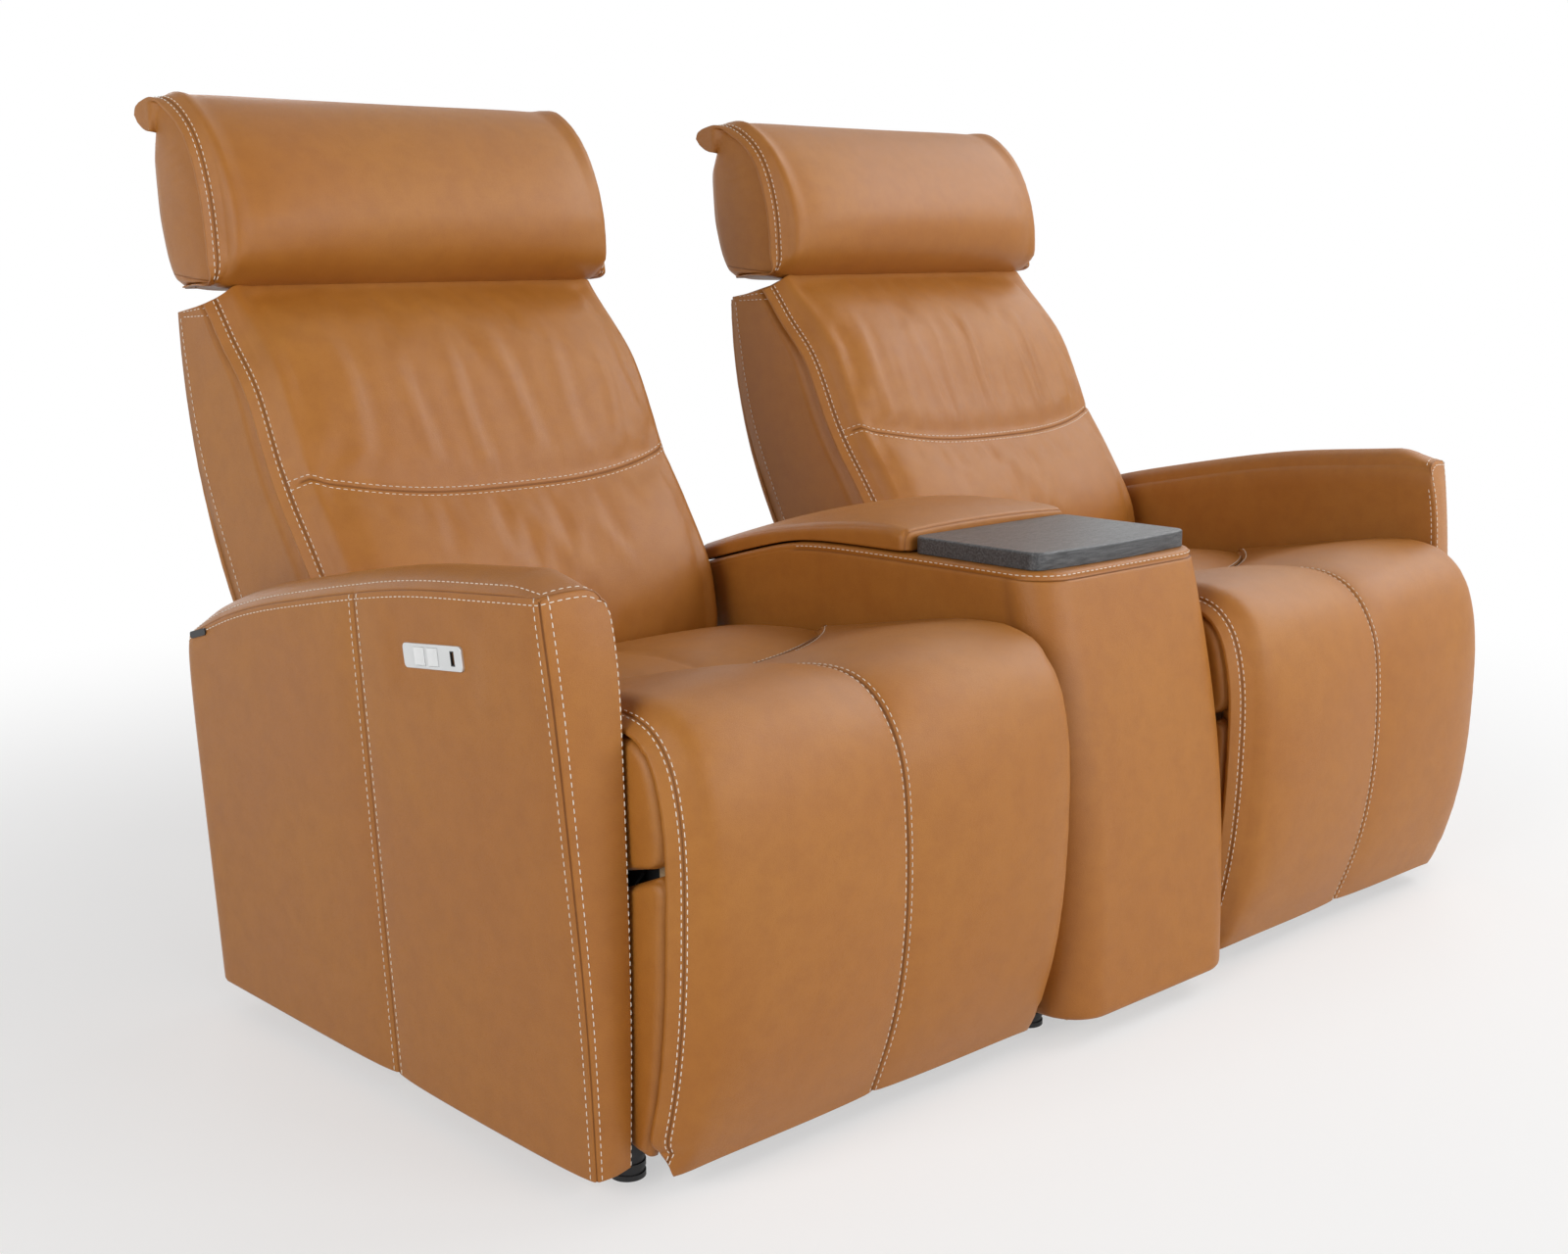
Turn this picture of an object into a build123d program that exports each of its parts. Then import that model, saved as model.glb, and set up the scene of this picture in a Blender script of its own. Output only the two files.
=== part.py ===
from build123d import *
import os
from math import cos, degrees, atan2, pi, radians, sin

os.makedirs("parts", exist_ok=True)

# Plan of the row: two seats, a console between them and an arm at each end
seat_pitch = 887.0
seat_width = 566.0
seat_gap = 6.0
arm_foot = 48.0
arm_lean = 23.0
floor_gap = 28.0

# Arm seen from the side: the middle of its top stands arm_mid_height above a line between its ends
arm_front_foot = -422.0
arm_front_top = -385.0
arm_rear_foot = 316.0
arm_rear_top = 330.0
arm_mid = -54.0
arm_front_height = 591.0
arm_mid_height = 26.8
arm_rear_height = 451.0
arm_crown = 18.0
arm_roll = 22.0
arm_peak = 0.6
arm_edge = 8.0
arm_padding = 12.0
arm_board = 24.0
arm_frame_inset = 34.0

# Control plate on the arm's outer face
plate_length = 104.0
plate_height = 25.0
plate_thick = 2.5
plate_corner = 5.0
plate_y = -207.0
plate_drop = 61.0
plate_tilt = 6.0
key_size = 18.0
key_depth = 9.0
key_travel = 1.5
key_gap = 0.35
key_proud = 0.6
key_dish = 0.8
key_pitch = 24.0
key_shift = 22.0
usb_shift = 36.0
usb_width = 7.0
usb_height = 15.0
usb_depth = 16.0
usb_wall = 1.2
usb_tongue = 1.6

# Zip pull at the rear end of the arm's top seam
zip_length = 40.0
zip_height = 8.0
zip_sink = 2.0
zip_proud = 2.0
zip_y = 292.0

# Steel base under each seat
rail_width = 25.0
rail_height = 40.0
rail_inset = 18.0
rail_front = -400.0
rail_rear = 286.0
tube_radius = 16.0
tube_wall = 2.0
tube_front_inset = 40.0
tube_rear_inset = 31.0
foot_radius = 18.0
foot_groove = 1.5
foot_rib = 5.0
foot_inset = 22.0
spacer_radius = 14.0
spacer_front = -300.0
spacer_rear = 200.0

# Mechanism: leg rest and back turn on pins in the side plates, one drive yoke moves both
leg_pivot_y = -425.0
leg_pivot_z = 408.0
leg_swing = 80.0
recline_pivot_y = 130.0
recline_pivot_z = 405.0
recline_angle = 30.0
side_plate = 5.0
link_thick = 6.0
link_gap = 1.5
bar_thick = 8.0
bar_low = 276.0
bar_high = 300.0
boss_margin = 9.0
lever_length = 45.0
pin_radius = 6.0
pin_head = 9.0
pin_head_thick = 3.0
stud_radius = 5.0
running_gap = 0.05
slot_gap = 1.6
hub_radius = 16.0
lever_width = 20.0
crank_width = 25.0
link_depth = 40.0
link_cut_angle = 5.0
arm_bar_width = 22.0
arm_bar_drop = 215.0

# Actuator: motor, gearbox and a fixed rail that the drive yoke slides on
rail_half = 15.0
rail_low = 280.0
rail_high = 304.0
slide_gap = 0.4
yoke_cheek = 12.0
yoke_floor = 18.0
yoke_length = 70.0
yoke_rest = -40.0
gearbox_length = 62.0
gearbox_width = 64.0
gearbox_height = 66.0
motor_radius = 27.0
motor_length = 140.0
hanger_length = 44.0

# Seat
seat_frame_front = -345.0
seat_frame_rear = 60.0
seat_frame_low = 318.0
seat_frame_thick = 30.0
seat_frame_side = 58.0
seat_frame_end = 54.0
strap_width = 46.0
strap_thick = 3.0
strap_count = 5
seat_rear = 78.0
seat_rear_height = 412.0
seat_crest_y = -335.0
seat_crest_height = 482.0
seat_hollow_y = -150.0
seat_hollow_height = 446.0
seat_puff = 15.0
puff_fullness = 0.6
edge_draw = 12
seat_lip = 4.0
nose_radius = 70.0
nose_bore = 27.0
nose_gap = 0.6
nose_lip_angle = 75.0
nose_slip_angle = 1.0
nose_heel_angle = -8.0
nose_edge = 7.0

# Leg rest
board_gap = 5.0
board_thick = 12.0
board_margin = 22.0
leg_bulge = 10.0
leg_bulge_z = 300.0
leg_mid_y = -497.0
leg_mid_z = 180.0
leg_foot_y = -453.0
leg_tuck_y = -483.0
leg_tuck_z = 104.0
leg_puff = 6.0

# Back: the rear face is one arc seen from the side
back_width = 560.0
back_arc_y = -232.0
back_arc_z = 832.0
back_arc_radius = 681.0
back_skin = 12.0
back_board = 18.0
back_board_margin = 14.0
back_low_angle = -38.5
back_high_angle = -1.0
board_top_drop = 0.5
back_foot_y = 85.0
back_foot_z = 432.0
back_heel_y = 92.0
back_heel_z = 462.0
back_seam_y = 198.0
back_seam_z = 634.0
back_brow_y = 366.0
back_brow_z = 836.0
back_belly = 12.0
back_crown = 16.0
back_board_drop = 2.5

# Headrest on its two hinge arms
head_pivot_y = 374.0
head_pivot_z = 850.0
head_pin_radius = 4.0
head_eye_radius = 6.5
head_low = 856.0
head_rear_foot = 450.0
head_front_foot = 386.0
head_cheek_y = 346.0
head_cheek_z = 905.0
head_top_y = 430.0
head_top_z = 1066.0
head_rear_y = 488.0
head_rear_z = 985.0
head_bulge = 46.0
head_fullness = 5
head_chin = 4.0
head_brow_out = 18.0
head_brow_up = 14.0
head_lip_reach = 511.5
head_lip_top = 1079.0
head_lip_thick = 9.0
head_core_y = 408.0
head_core_thick = 12.0
head_core_low = 874.0
head_core_high = 1040.0
head_core_margin = 26.0
head_arm_shift = 120.0
head_arm_thick = 6.0
head_lug_thick = 6.0
head_notch_gap = 3.0
head_notch_high = 876.0

# Fixed lower panel at the rear
rear_panel_thick = 14.0
rear_panel_low = 34.0
rear_panel_high = 298.0
rear_panel_margin = 15.0

# Console
console_front_foot = -500.0
console_front_mid = -482.0
console_mid_z = 300.0
console_front_top = -430.0
console_top = 541.0
console_break = -30.0
console_rear_top = 300.0
console_rear_height = 446.0
console_rear_foot = 290.0
console_corner = 58.0
console_edge = 9.0
console_frame_inset = 29.0
console_padding = 12.0
console_board = 15.0
bin_margin = 40.0
bin_front = -200.0
bin_rear = 110.0
bin_low = 330.0
bin_wall = 3.0
bin_rim = 2.0
console_foot_front = -400.0
console_foot_rear = 235.0

# Tray and padded lid on the console; the lid's heights are above its own floor
tray_margin = 14.5
tray_front = -410.0
tray_thick = 20.0
tray_corner = 15.0
tray_bow = 8.0
tray_edge = 3.0
screw_radius = 4.0
screw_head = 7.0
screw_head_thick = 3.0
screw_bite = 10.0
screw_inset = 42.0
lid_front = -217.0
lid_rear = 166.0
lid_gap = 2.0
lid_margin = 4.5
lid_board_thick = 12.0
lid_board_margin = 14.0
lid_front_height = 30.0
lid_crest_y = -110.0
lid_crest_height = 47.0
lid_slope_y = 40.0
lid_slope_height = 35.2
lid_rear_height = 16.4
lid_puff = 8.0
lid_pivot_y = 180.0
lid_pivot_lift = 9.0
lid_knuckle = 6.0
lid_knuckle_width = 30.0
lid_knuckle_shift = 60.0
lid_pin_radius = 3.0
lid_lug_gap = 0.5

# Sizes worked out from the ones above
half_seat = seat_width / 2
tube_front = rail_front + tube_front_inset
tube_rear = rail_rear - tube_rear_inset
seat_centre = seat_pitch / 2
arm_mid_share = (arm_mid - arm_front_top) / (arm_rear_top - arm_front_top)
arm_mid_z = arm_front_height + (arm_rear_height - arm_front_height) * arm_mid_share + arm_mid_height
plate_share = (plate_y - arm_front_top) / (arm_mid - arm_front_top)
plate_z = arm_front_height + (arm_mid_z - arm_front_height) * plate_share - plate_drop
arm_in = seat_centre + half_seat + seat_gap
arm_out_foot = arm_in + arm_foot
arm_out_top = arm_out_foot + arm_lean
console_half = seat_centre - half_seat - seat_gap
half_back = back_width / 2
rail_x = half_seat - rail_inset
rail_top = floor_gap + rail_height
plate_out = rail_x
plate_in = plate_out - side_plate
link_out = plate_in - link_gap
link_in = link_out - link_thick
bar_out = link_in - 2 * link_gap
bar_in = bar_out - bar_thick
leg_pivot = (leg_pivot_y, leg_pivot_z)
recline_pivot = (recline_pivot_y, recline_pivot_z)
drive_travel = 2 * lever_length * sin(radians(leg_swing / 2))
crank_length = drive_travel / (2 * sin(radians(recline_angle / 2)))
board_back = leg_pivot_y - board_gap
board_front = board_back - board_thick
seat_frame_high = seat_frame_low + seat_frame_thick
seat_low = seat_frame_high + strap_thick
lean_angle = degrees(atan2(arm_lean, arm_front_height - floor_gap))
console_slope = (console_top - console_rear_height) / (console_rear_top - console_break)
lid_half = console_half - lid_margin
tray_half = console_half - tray_margin
tray_rear = lid_front - lid_gap
bin_half = console_half - bin_margin
sides = (("left", -1), ("right", 1))


def finish(piece, name):
    piece.part.label = name
    export_step(piece.part, f"parts/{name}.step")


def block(x, y, z, mode=Mode.ADD):
    with Locations(((x[0] + x[1]) / 2, (y[0] + y[1]) / 2, (z[0] + z[1]) / 2)):
        Box(abs(x[1] - x[0]), abs(y[1] - y[0]), abs(z[1] - z[0]), mode=mode)


def rod(x, at, radius, mode=Mode.ADD):
    with Locations(Location((min(x), at[0], at[1]), (0, 90, 0))):
        Cylinder(radius, abs(x[1] - x[0]), align=(Align.CENTER, Align.CENTER, Align.MIN), mode=mode)


def slab(x, points, mode=Mode.ADD):
    with BuildSketch(Plane.YZ.offset(min(x))) as outline:
        with BuildLine():
            Polyline(*points, close=True)
        make_face()
    extrude(outline.sketch, amount=abs(x[1] - x[0]), mode=mode)


def turned(centre, radius, angle):
    return (centre[0] + radius * cos(radians(angle)), centre[1] + radius * sin(radians(angle)))


def sector(x, centre, radii, angles, mode=Mode.ADD):
    inner, outer = radii
    middle = sum(angles) / 2
    with BuildSketch(Plane.YZ.offset(min(x))) as outline:
        with BuildLine():
            ThreePointArc(*(turned(centre, outer, a) for a in (angles[0], middle, angles[1])))
            Line(turned(centre, outer, angles[1]), turned(centre, inner, angles[1]))
            ThreePointArc(*(turned(centre, inner, a) for a in (angles[1], middle, angles[0])))
            Line(turned(centre, inner, angles[0]), turned(centre, outer, angles[0]))
        make_face()
    extrude(outline.sketch, amount=abs(x[1] - x[0]), mode=mode)


def strip(x, start, end, width):
    # A flat bar with round ends between two points
    length = ((end[0] - start[0]) ** 2 + (end[1] - start[1]) ** 2) ** 0.5
    angle = degrees(atan2(end[1] - start[1], end[0] - start[0]))
    middle = ((start[0] + end[0]) / 2, (start[1] + end[1]) / 2, 0)
    with BuildSketch(Plane.YZ.offset(min(x))) as outline:
        with Locations(Location(middle, (0, 0, angle))):
            SlotCenterToCenter(length, width)
    extrude(outline.sketch, amount=abs(x[1] - x[0]))


def pair(x, low, high):
    # The same width on both sides of a seat's centre line
    return ((x - high, x - low), (x + low, x + high))


# Arms: a padded leather cover over a board
def arm_solid(inset, x, mode=Mode.ADD):
    rise = arm_crown - inset
    with BuildSketch(Plane.YZ.offset(min(x))) as outline:
        with BuildLine():
            Polyline(
                (arm_rear_top - inset, arm_rear_height + rise),
                (arm_rear_foot - inset, floor_gap),
                (arm_front_foot + inset, floor_gap),
                (arm_front_top + inset, arm_front_height + rise),
            )
            ThreePointArc(
                (arm_front_top + inset, arm_front_height + rise),
                (arm_mid, arm_mid_z + rise),
                (arm_rear_top - inset, arm_rear_height + rise),
            )
        make_face()
    extrude(outline.sketch, amount=abs(x[1] - x[0]), mode=mode)


# The outer face leans out, so what sits on it is drawn on a plane of that face
plate_x = -arm_out_foot - arm_lean * (plate_z - floor_gap) / (arm_front_height - floor_gap)
face_normal = (-cos(radians(lean_angle)), 0, -sin(radians(lean_angle)))
face_along = (0, -cos(radians(plate_tilt)), sin(radians(plate_tilt)))
control_face = Plane(origin=(plate_x, plate_y, plate_z), x_dir=face_along, z_dir=face_normal)
zip_share = (arm_rear_top - zip_y) / (arm_rear_top - arm_mid)
zip_z = arm_rear_height + (arm_mid_z - arm_rear_height) * zip_share
zip_x = -arm_out_foot - arm_lean * (zip_z - floor_gap) / (arm_front_height - floor_gap)
zip_slope = degrees(atan2(arm_mid_z - arm_rear_height, arm_rear_top - arm_mid))
zip_along = (0, -cos(radians(zip_slope)), sin(radians(zip_slope)))
zip_face = Plane(origin=(zip_x, zip_y, zip_z), x_dir=zip_along, z_dir=face_normal)
key_places = [-key_shift, key_pitch - key_shift]
key_hole = key_size + 2 * key_gap
arm_board_x = (-arm_in - arm_padding - arm_board, -arm_in - arm_padding)


def control_pocket(width, height, shift, depth, mode):
    with BuildSketch(control_face.offset(plate_thick)) as outline:
        with Locations((shift, 0)):
            Rectangle(width, height)
    extrude(outline.sketch, amount=-depth, mode=mode)


def zip_tab(mode):
    with BuildSketch(zip_face.offset(zip_proud)) as outline:
        SlotOverall(zip_length, zip_height)
    extrude(outline.sketch, amount=-(zip_proud + zip_sink), mode=mode)


def arm_section(share):
    # One slice of the arm, on a plane that turns from the leaning outer face to the upright inner one
    lean = radians(lean_angle * (1 - share))
    foot_x = -arm_out_foot + (arm_out_foot - arm_in) * share
    if share < arm_peak:
        rise = arm_crown * (1 - (1 - share / arm_peak) ** 2)
    else:
        rise = arm_crown - arm_roll * ((share - arm_peak) / (1 - arm_peak)) ** 3
    draw = arm_edge * abs(2 * share - 1) ** edge_draw
    front = (arm_front_top + draw, arm_front_height - floor_gap + rise)
    middle = (arm_mid, arm_mid_z - floor_gap + rise)
    rear = (arm_rear_top - draw, arm_rear_height - floor_gap + rise)
    slice_plane = Plane(origin=(foot_x, 0, floor_gap), x_dir=(0, 1, 0), z_dir=(cos(lean), 0, sin(lean)))
    with BuildSketch(slice_plane) as slice_face:
        with BuildLine():
            ThreePointArc(front, middle, rear)
            Polyline(rear, (arm_rear_foot - draw, 0), (arm_front_foot + draw, 0), front)
        make_face()
    return slice_face.sketch


arm_shares = (0, 0.03, 0.1, 0.3, 0.6, 0.8, 0.92, 0.98, 1)

with BuildPart() as arm_cover:
    loft([arm_section(share) for share in arm_shares], ruled=True)
    arm_solid(arm_frame_inset, arm_board_x, Mode.SUBTRACT)
    for place in key_places:
        control_pocket(key_hole, key_hole, place, key_depth + key_travel, Mode.SUBTRACT)
    control_pocket(usb_width, usb_height, usb_shift, usb_depth, Mode.SUBTRACT)
    zip_tab(Mode.SUBTRACT)

with BuildPart() as arm_frame:
    arm_solid(arm_frame_inset, arm_board_x)

with BuildPart() as switch_plate:
    with BuildSketch(control_face):
        RectangleRounded(plate_length, plate_height, plate_corner)
    extrude(amount=plate_thick)
    fillet(switch_plate.faces().sort_by(Axis.X)[0].edges(), plate_thick / 4)
    for place in key_places:
        control_pocket(key_hole, key_hole, place, plate_thick, Mode.SUBTRACT)
    control_pocket(usb_width, usb_height, usb_shift, plate_thick, Mode.SUBTRACT)

keys = []
for place in key_places:
    with BuildPart() as key:
        with BuildSketch(control_face.offset(plate_thick + key_proud)):
            with Locations((place, 0)):
                Rectangle(key_size, key_size)
        extrude(amount=-key_depth)
        dish = key_size**2 / (8 * key_dish)
        with Locations(control_face.offset(plate_thick + key_proud - key_dish + dish)):
            with Locations((place, 0, 0)):
                Cylinder(dish, 2 * key_size, rotation=(90, 0, 0), mode=Mode.SUBTRACT)
    keys.append(key)

with BuildPart() as usb_socket:
    control_pocket(usb_width, usb_height, usb_shift, usb_depth, Mode.ADD)
    control_pocket(
        usb_width - 2 * usb_wall, usb_height - 2 * usb_wall, usb_shift, usb_depth - usb_wall, Mode.SUBTRACT
    )
    with BuildSketch(control_face.offset(plate_thick - usb_depth)):
        with Locations((usb_shift, 0)):
            Rectangle(usb_tongue, usb_height - 4 * usb_wall)
    extrude(amount=usb_depth - 2 * usb_wall)

with BuildPart() as zip_pull:
    zip_tab(Mode.ADD)

arm_pieces = (
    (arm_cover, "arm_cover"),
    (arm_frame, "arm_frame"),
    (switch_plate, "switch_plate"),
    (keys[0], "return_key"),
    (keys[1], "recline_key"),
)
for piece, name in arm_pieces:
    finish(piece, f"{name}_left")
    with BuildPart() as twin:
        add(piece.part)
        mirror(about=Plane.YZ, mode=Mode.REPLACE)
    finish(twin, f"{name}_right")

for piece, name in ((usb_socket, "usb_sockets"), (zip_pull, "zip_pulls")):
    with BuildPart() as both:
        add(piece.part)
        mirror(about=Plane.YZ)
    finish(both, name)


# Steel base, feet and spacers
seat_centres = (-seat_centre, seat_centre)

with BuildPart() as side_rails:
    for x in seat_centres:
        for span in pair(x, rail_x - rail_width / 2, rail_x + rail_width / 2):
            block(span, (rail_front, rail_rear), (floor_gap, rail_top))
finish(side_rails, "side_rails")

with BuildPart() as cross_tubes:
    reach = rail_x - rail_width / 2
    tube_bore = tube_radius - tube_wall
    for x in seat_centres:
        for y in (tube_front, tube_rear):
            rod((x - reach, x + reach), (y, floor_gap + rail_height / 2), tube_radius)
            rod((x - reach, x + reach), (y, floor_gap + rail_height / 2), tube_bore, Mode.SUBTRACT)
finish(cross_tubes, "cross_tubes")

foot_places = [(x + s * rail_x, y) for x in seat_centres for s in (-1, 1)
               for y in (rail_front + foot_inset, rail_rear - foot_inset)]
console_wall = console_half - console_padding - console_board
foot_places += [(s * console_wall, y) for s in (-1, 1) for y in (console_foot_front, console_foot_rear)]
rib_count = int(floor_gap / foot_rib)

with BuildPart() as feet:
    with Locations(*[(x, y, 0) for x, y in foot_places]):
        Cylinder(foot_radius - foot_groove, floor_gap, align=(Align.CENTER, Align.CENTER, Align.MIN))
    for rib in range(0, rib_count, 2):
        with Locations(*[(x, y, rib * floor_gap / rib_count) for x, y in foot_places]):
            Cylinder(foot_radius, floor_gap / rib_count, align=(Align.CENTER, Align.CENTER, Align.MIN))
finish(feet, "feet")

with BuildPart() as row_spacers:
    near = rail_x + rail_width / 2
    far = half_seat + seat_gap
    for x in seat_centres:
        for y in (spacer_front, spacer_rear):
            for span in pair(x, near, far):
                rod(span, (y, floor_gap + rail_height / 2), spacer_radius)
finish(row_spacers, "row_spacers")

with BuildPart() as hinge_pins:
    for x in seat_centres:
        for pivot in (leg_pivot, recline_pivot):
            for s in (-1, 1):
                rod((x + s * (link_in - link_gap / 2), x + s * plate_out), pivot, pin_radius)
                rod((x + s * plate_out, x + s * (plate_out + pin_head_thick)), pivot, pin_head)
finish(hinge_pins, "hinge_pins")

with BuildPart() as seat_straps:
    strap_pitch = 2 * (plate_in - seat_frame_side / 2) / strap_count
    for x in seat_centres:
        for i in range(strap_count):
            strap_x = x + (i - (strap_count - 1) / 2) * strap_pitch
            block(
                (strap_x - strap_width / 2, strap_x + strap_width / 2),
                (seat_frame_front, seat_frame_rear),
                (seat_frame_high, seat_low),
            )
finish(seat_straps, "seat_straps")


# Places of the studs that the drive yoke pushes
lever_angle = 270 + leg_swing / 2
crank_angle = 270 + recline_angle / 2
lever_stud = turned(leg_pivot, lever_length, lever_angle)
crank_stud = turned(recline_pivot, crank_length, crank_angle)
lever_sag = lever_length * (1 - cos(radians(leg_swing / 2)))
crank_sag = crank_length * (1 - cos(radians(recline_angle / 2)))


def back_point(radius, angle):
    return turned((back_arc_y, back_arc_z), radius, angle)


board_radius = back_arc_radius - back_skin
cushion_radius = board_radius - back_board
board_high_angle = back_high_angle - board_top_drop
cushion_low_angle = back_low_angle + back_board_drop
underside = back_point(cushion_radius, cushion_low_angle)


def underside_z(y):
    share = (y - back_foot_y) / (underside[0] - back_foot_y)
    return back_foot_z + (underside[1] - back_foot_z) * share


def slot_cut(span, stud, sag):
    half_y = stud_radius + slot_gap
    block(
        span,
        (stud[0] - half_y, stud[0] + half_y),
        (stud[1] - sag - half_y, stud[1] + half_y),
        Mode.SUBTRACT,
    )


def boss_block(span, stud, sag):
    half_y = stud_radius + slot_gap + boss_margin
    block(span, (stud[0] - half_y, stud[0] + half_y), (stud[1] - sag - half_y, stud[1] + half_y))


def seat_section(x, share):
    # One slice of the seat cushion: two puffed halves with a sewn hollow between them
    lift = seat_puff * (sin(pi * abs(share)) ** puff_fullness - abs(share) ** edge_draw)
    pocket = nose_radius + nose_gap
    lip = turned(leg_pivot, pocket, nose_lip_angle)
    heel = turned(leg_pivot, pocket, nose_heel_angle)
    lip_top = (lip[0], lip[1] + seat_lip)
    crest = (seat_crest_y, seat_crest_height + lift)
    hollow = (seat_hollow_y, seat_hollow_height + lift / 2)
    rear = (seat_rear, seat_rear_height + lift / 2)
    with BuildSketch(Plane.YZ.offset(x)) as slice_face:
        with BuildLine():
            front_bow = ((lip_top[0] + crest[0]) / 2, (lip_top[1] + crest[1]) / 2 + seat_lip)
            middle_bow = ((crest[0] + hollow[0]) / 2, (crest[1] + hollow[1]) / 2 + seat_lip / 2)
            rear_bow = ((hollow[0] + rear[0]) / 2, (hollow[1] + rear[1]) / 2 + seat_lip)
            ThreePointArc(lip_top, front_bow, crest)
            ThreePointArc(crest, middle_bow, hollow)
            ThreePointArc(hollow, rear_bow, rear)
            Polyline(rear, (seat_rear, seat_low), (seat_frame_front, seat_low), heel)
            ThreePointArc(heel, turned(leg_pivot, pocket, nose_lip_angle / 2), lip)
            Line(lip, lip_top)
        make_face()
    return slice_face.sketch


def leg_section(x, share):
    puff = leg_puff * (sin(pi * abs(share)) ** puff_fullness - abs(share) ** edge_draw)
    top = (leg_pivot_y - nose_radius + leg_puff * abs(share) ** edge_draw, leg_pivot_z)
    mid = (leg_mid_y - puff, leg_mid_z)
    foot = (leg_foot_y, floor_gap)
    with BuildSketch(Plane.YZ.offset(x)) as slice_face:
        with BuildLine():
            ThreePointArc(top, (top[0] - leg_bulge - puff, leg_bulge_z), mid)
            ThreePointArc(mid, (leg_tuck_y - puff / 2, leg_tuck_z), foot)
            Polyline(foot, (board_front, floor_gap), (board_front, leg_pivot_z), top)
        make_face()
    return slice_face.sketch


def back_section(x, share):
    # The front of the back swells above and below its cross seam
    swell = back_crown * (1 - share**2) - back_crown / 2 * abs(share) ** edge_draw
    slope = atan2(back_brow_z - back_heel_z, back_brow_y - back_heel_y)
    out = (-sin(slope), cos(slope))

    def pushed(point, amount):
        return (point[0] + out[0] * amount, point[1] + out[1] * amount)

    foot = (back_foot_y, back_foot_z)
    heel = pushed((back_heel_y, back_heel_z), swell / 3)
    seam = pushed((back_seam_y, back_seam_z), swell / 2)
    brow = pushed((back_brow_y, back_brow_z), swell / 3)
    lower = pushed(((heel[0] + seam[0]) / 2, (heel[1] + seam[1]) / 2), back_belly + swell / 2)
    upper = pushed(((seam[0] + brow[0]) / 2, (seam[1] + brow[1]) / 2), swell)
    high = back_point(cushion_radius, board_high_angle)
    middle = back_point(cushion_radius, (cushion_low_angle + board_high_angle) / 2)
    with BuildSketch(Plane.YZ.offset(x)) as slice_face:
        with BuildLine():
            Line(foot, heel)
            ThreePointArc(heel, lower, seam)
            ThreePointArc(seam, upper, brow)
            Line(brow, high)
            ThreePointArc(high, middle, underside)
            Line(underside, foot)
        make_face()
    return slice_face.sketch


def head_section(x, share):
    # The pillow is fullest across its middle and drawn in at the end seams
    bulge = head_bulge * (1 - abs(share) ** head_fullness)
    foot = (head_front_foot - bulge / 4, head_low)
    cheek = (head_cheek_y - bulge, head_cheek_z)
    top = (head_top_y, head_top_z)
    rear = (head_rear_foot, head_low)
    chin = ((foot[0] + cheek[0]) / 2 - bulge / 4 - head_chin, (foot[1] + cheek[1]) / 2 - head_chin)
    brow = ((cheek[0] + top[0]) / 2 - head_brow_out, (cheek[1] + top[1]) / 2 + head_brow_up)
    with BuildSketch(Plane.YZ.offset(x)) as slice_face:
        with BuildLine():
            Line(rear, foot)
            ThreePointArc(foot, chin, cheek)
            ThreePointArc(cheek, brow, top)
            ThreePointArc(top, (head_rear_y, head_rear_z), rear)
        make_face()
    return slice_face.sketch


seat_shares = (-1, -0.95, -0.8, -0.5, -0.15, 0, 0.15, 0.5, 0.8, 0.95, 1)
back_shares = (-1, -0.96, -0.8, -0.45, 0, 0.45, 0.8, 0.96, 1)
head_shares = (-1, -0.9, -0.7, -0.35, 0, 0.35, 0.7, 0.9, 1)

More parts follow.
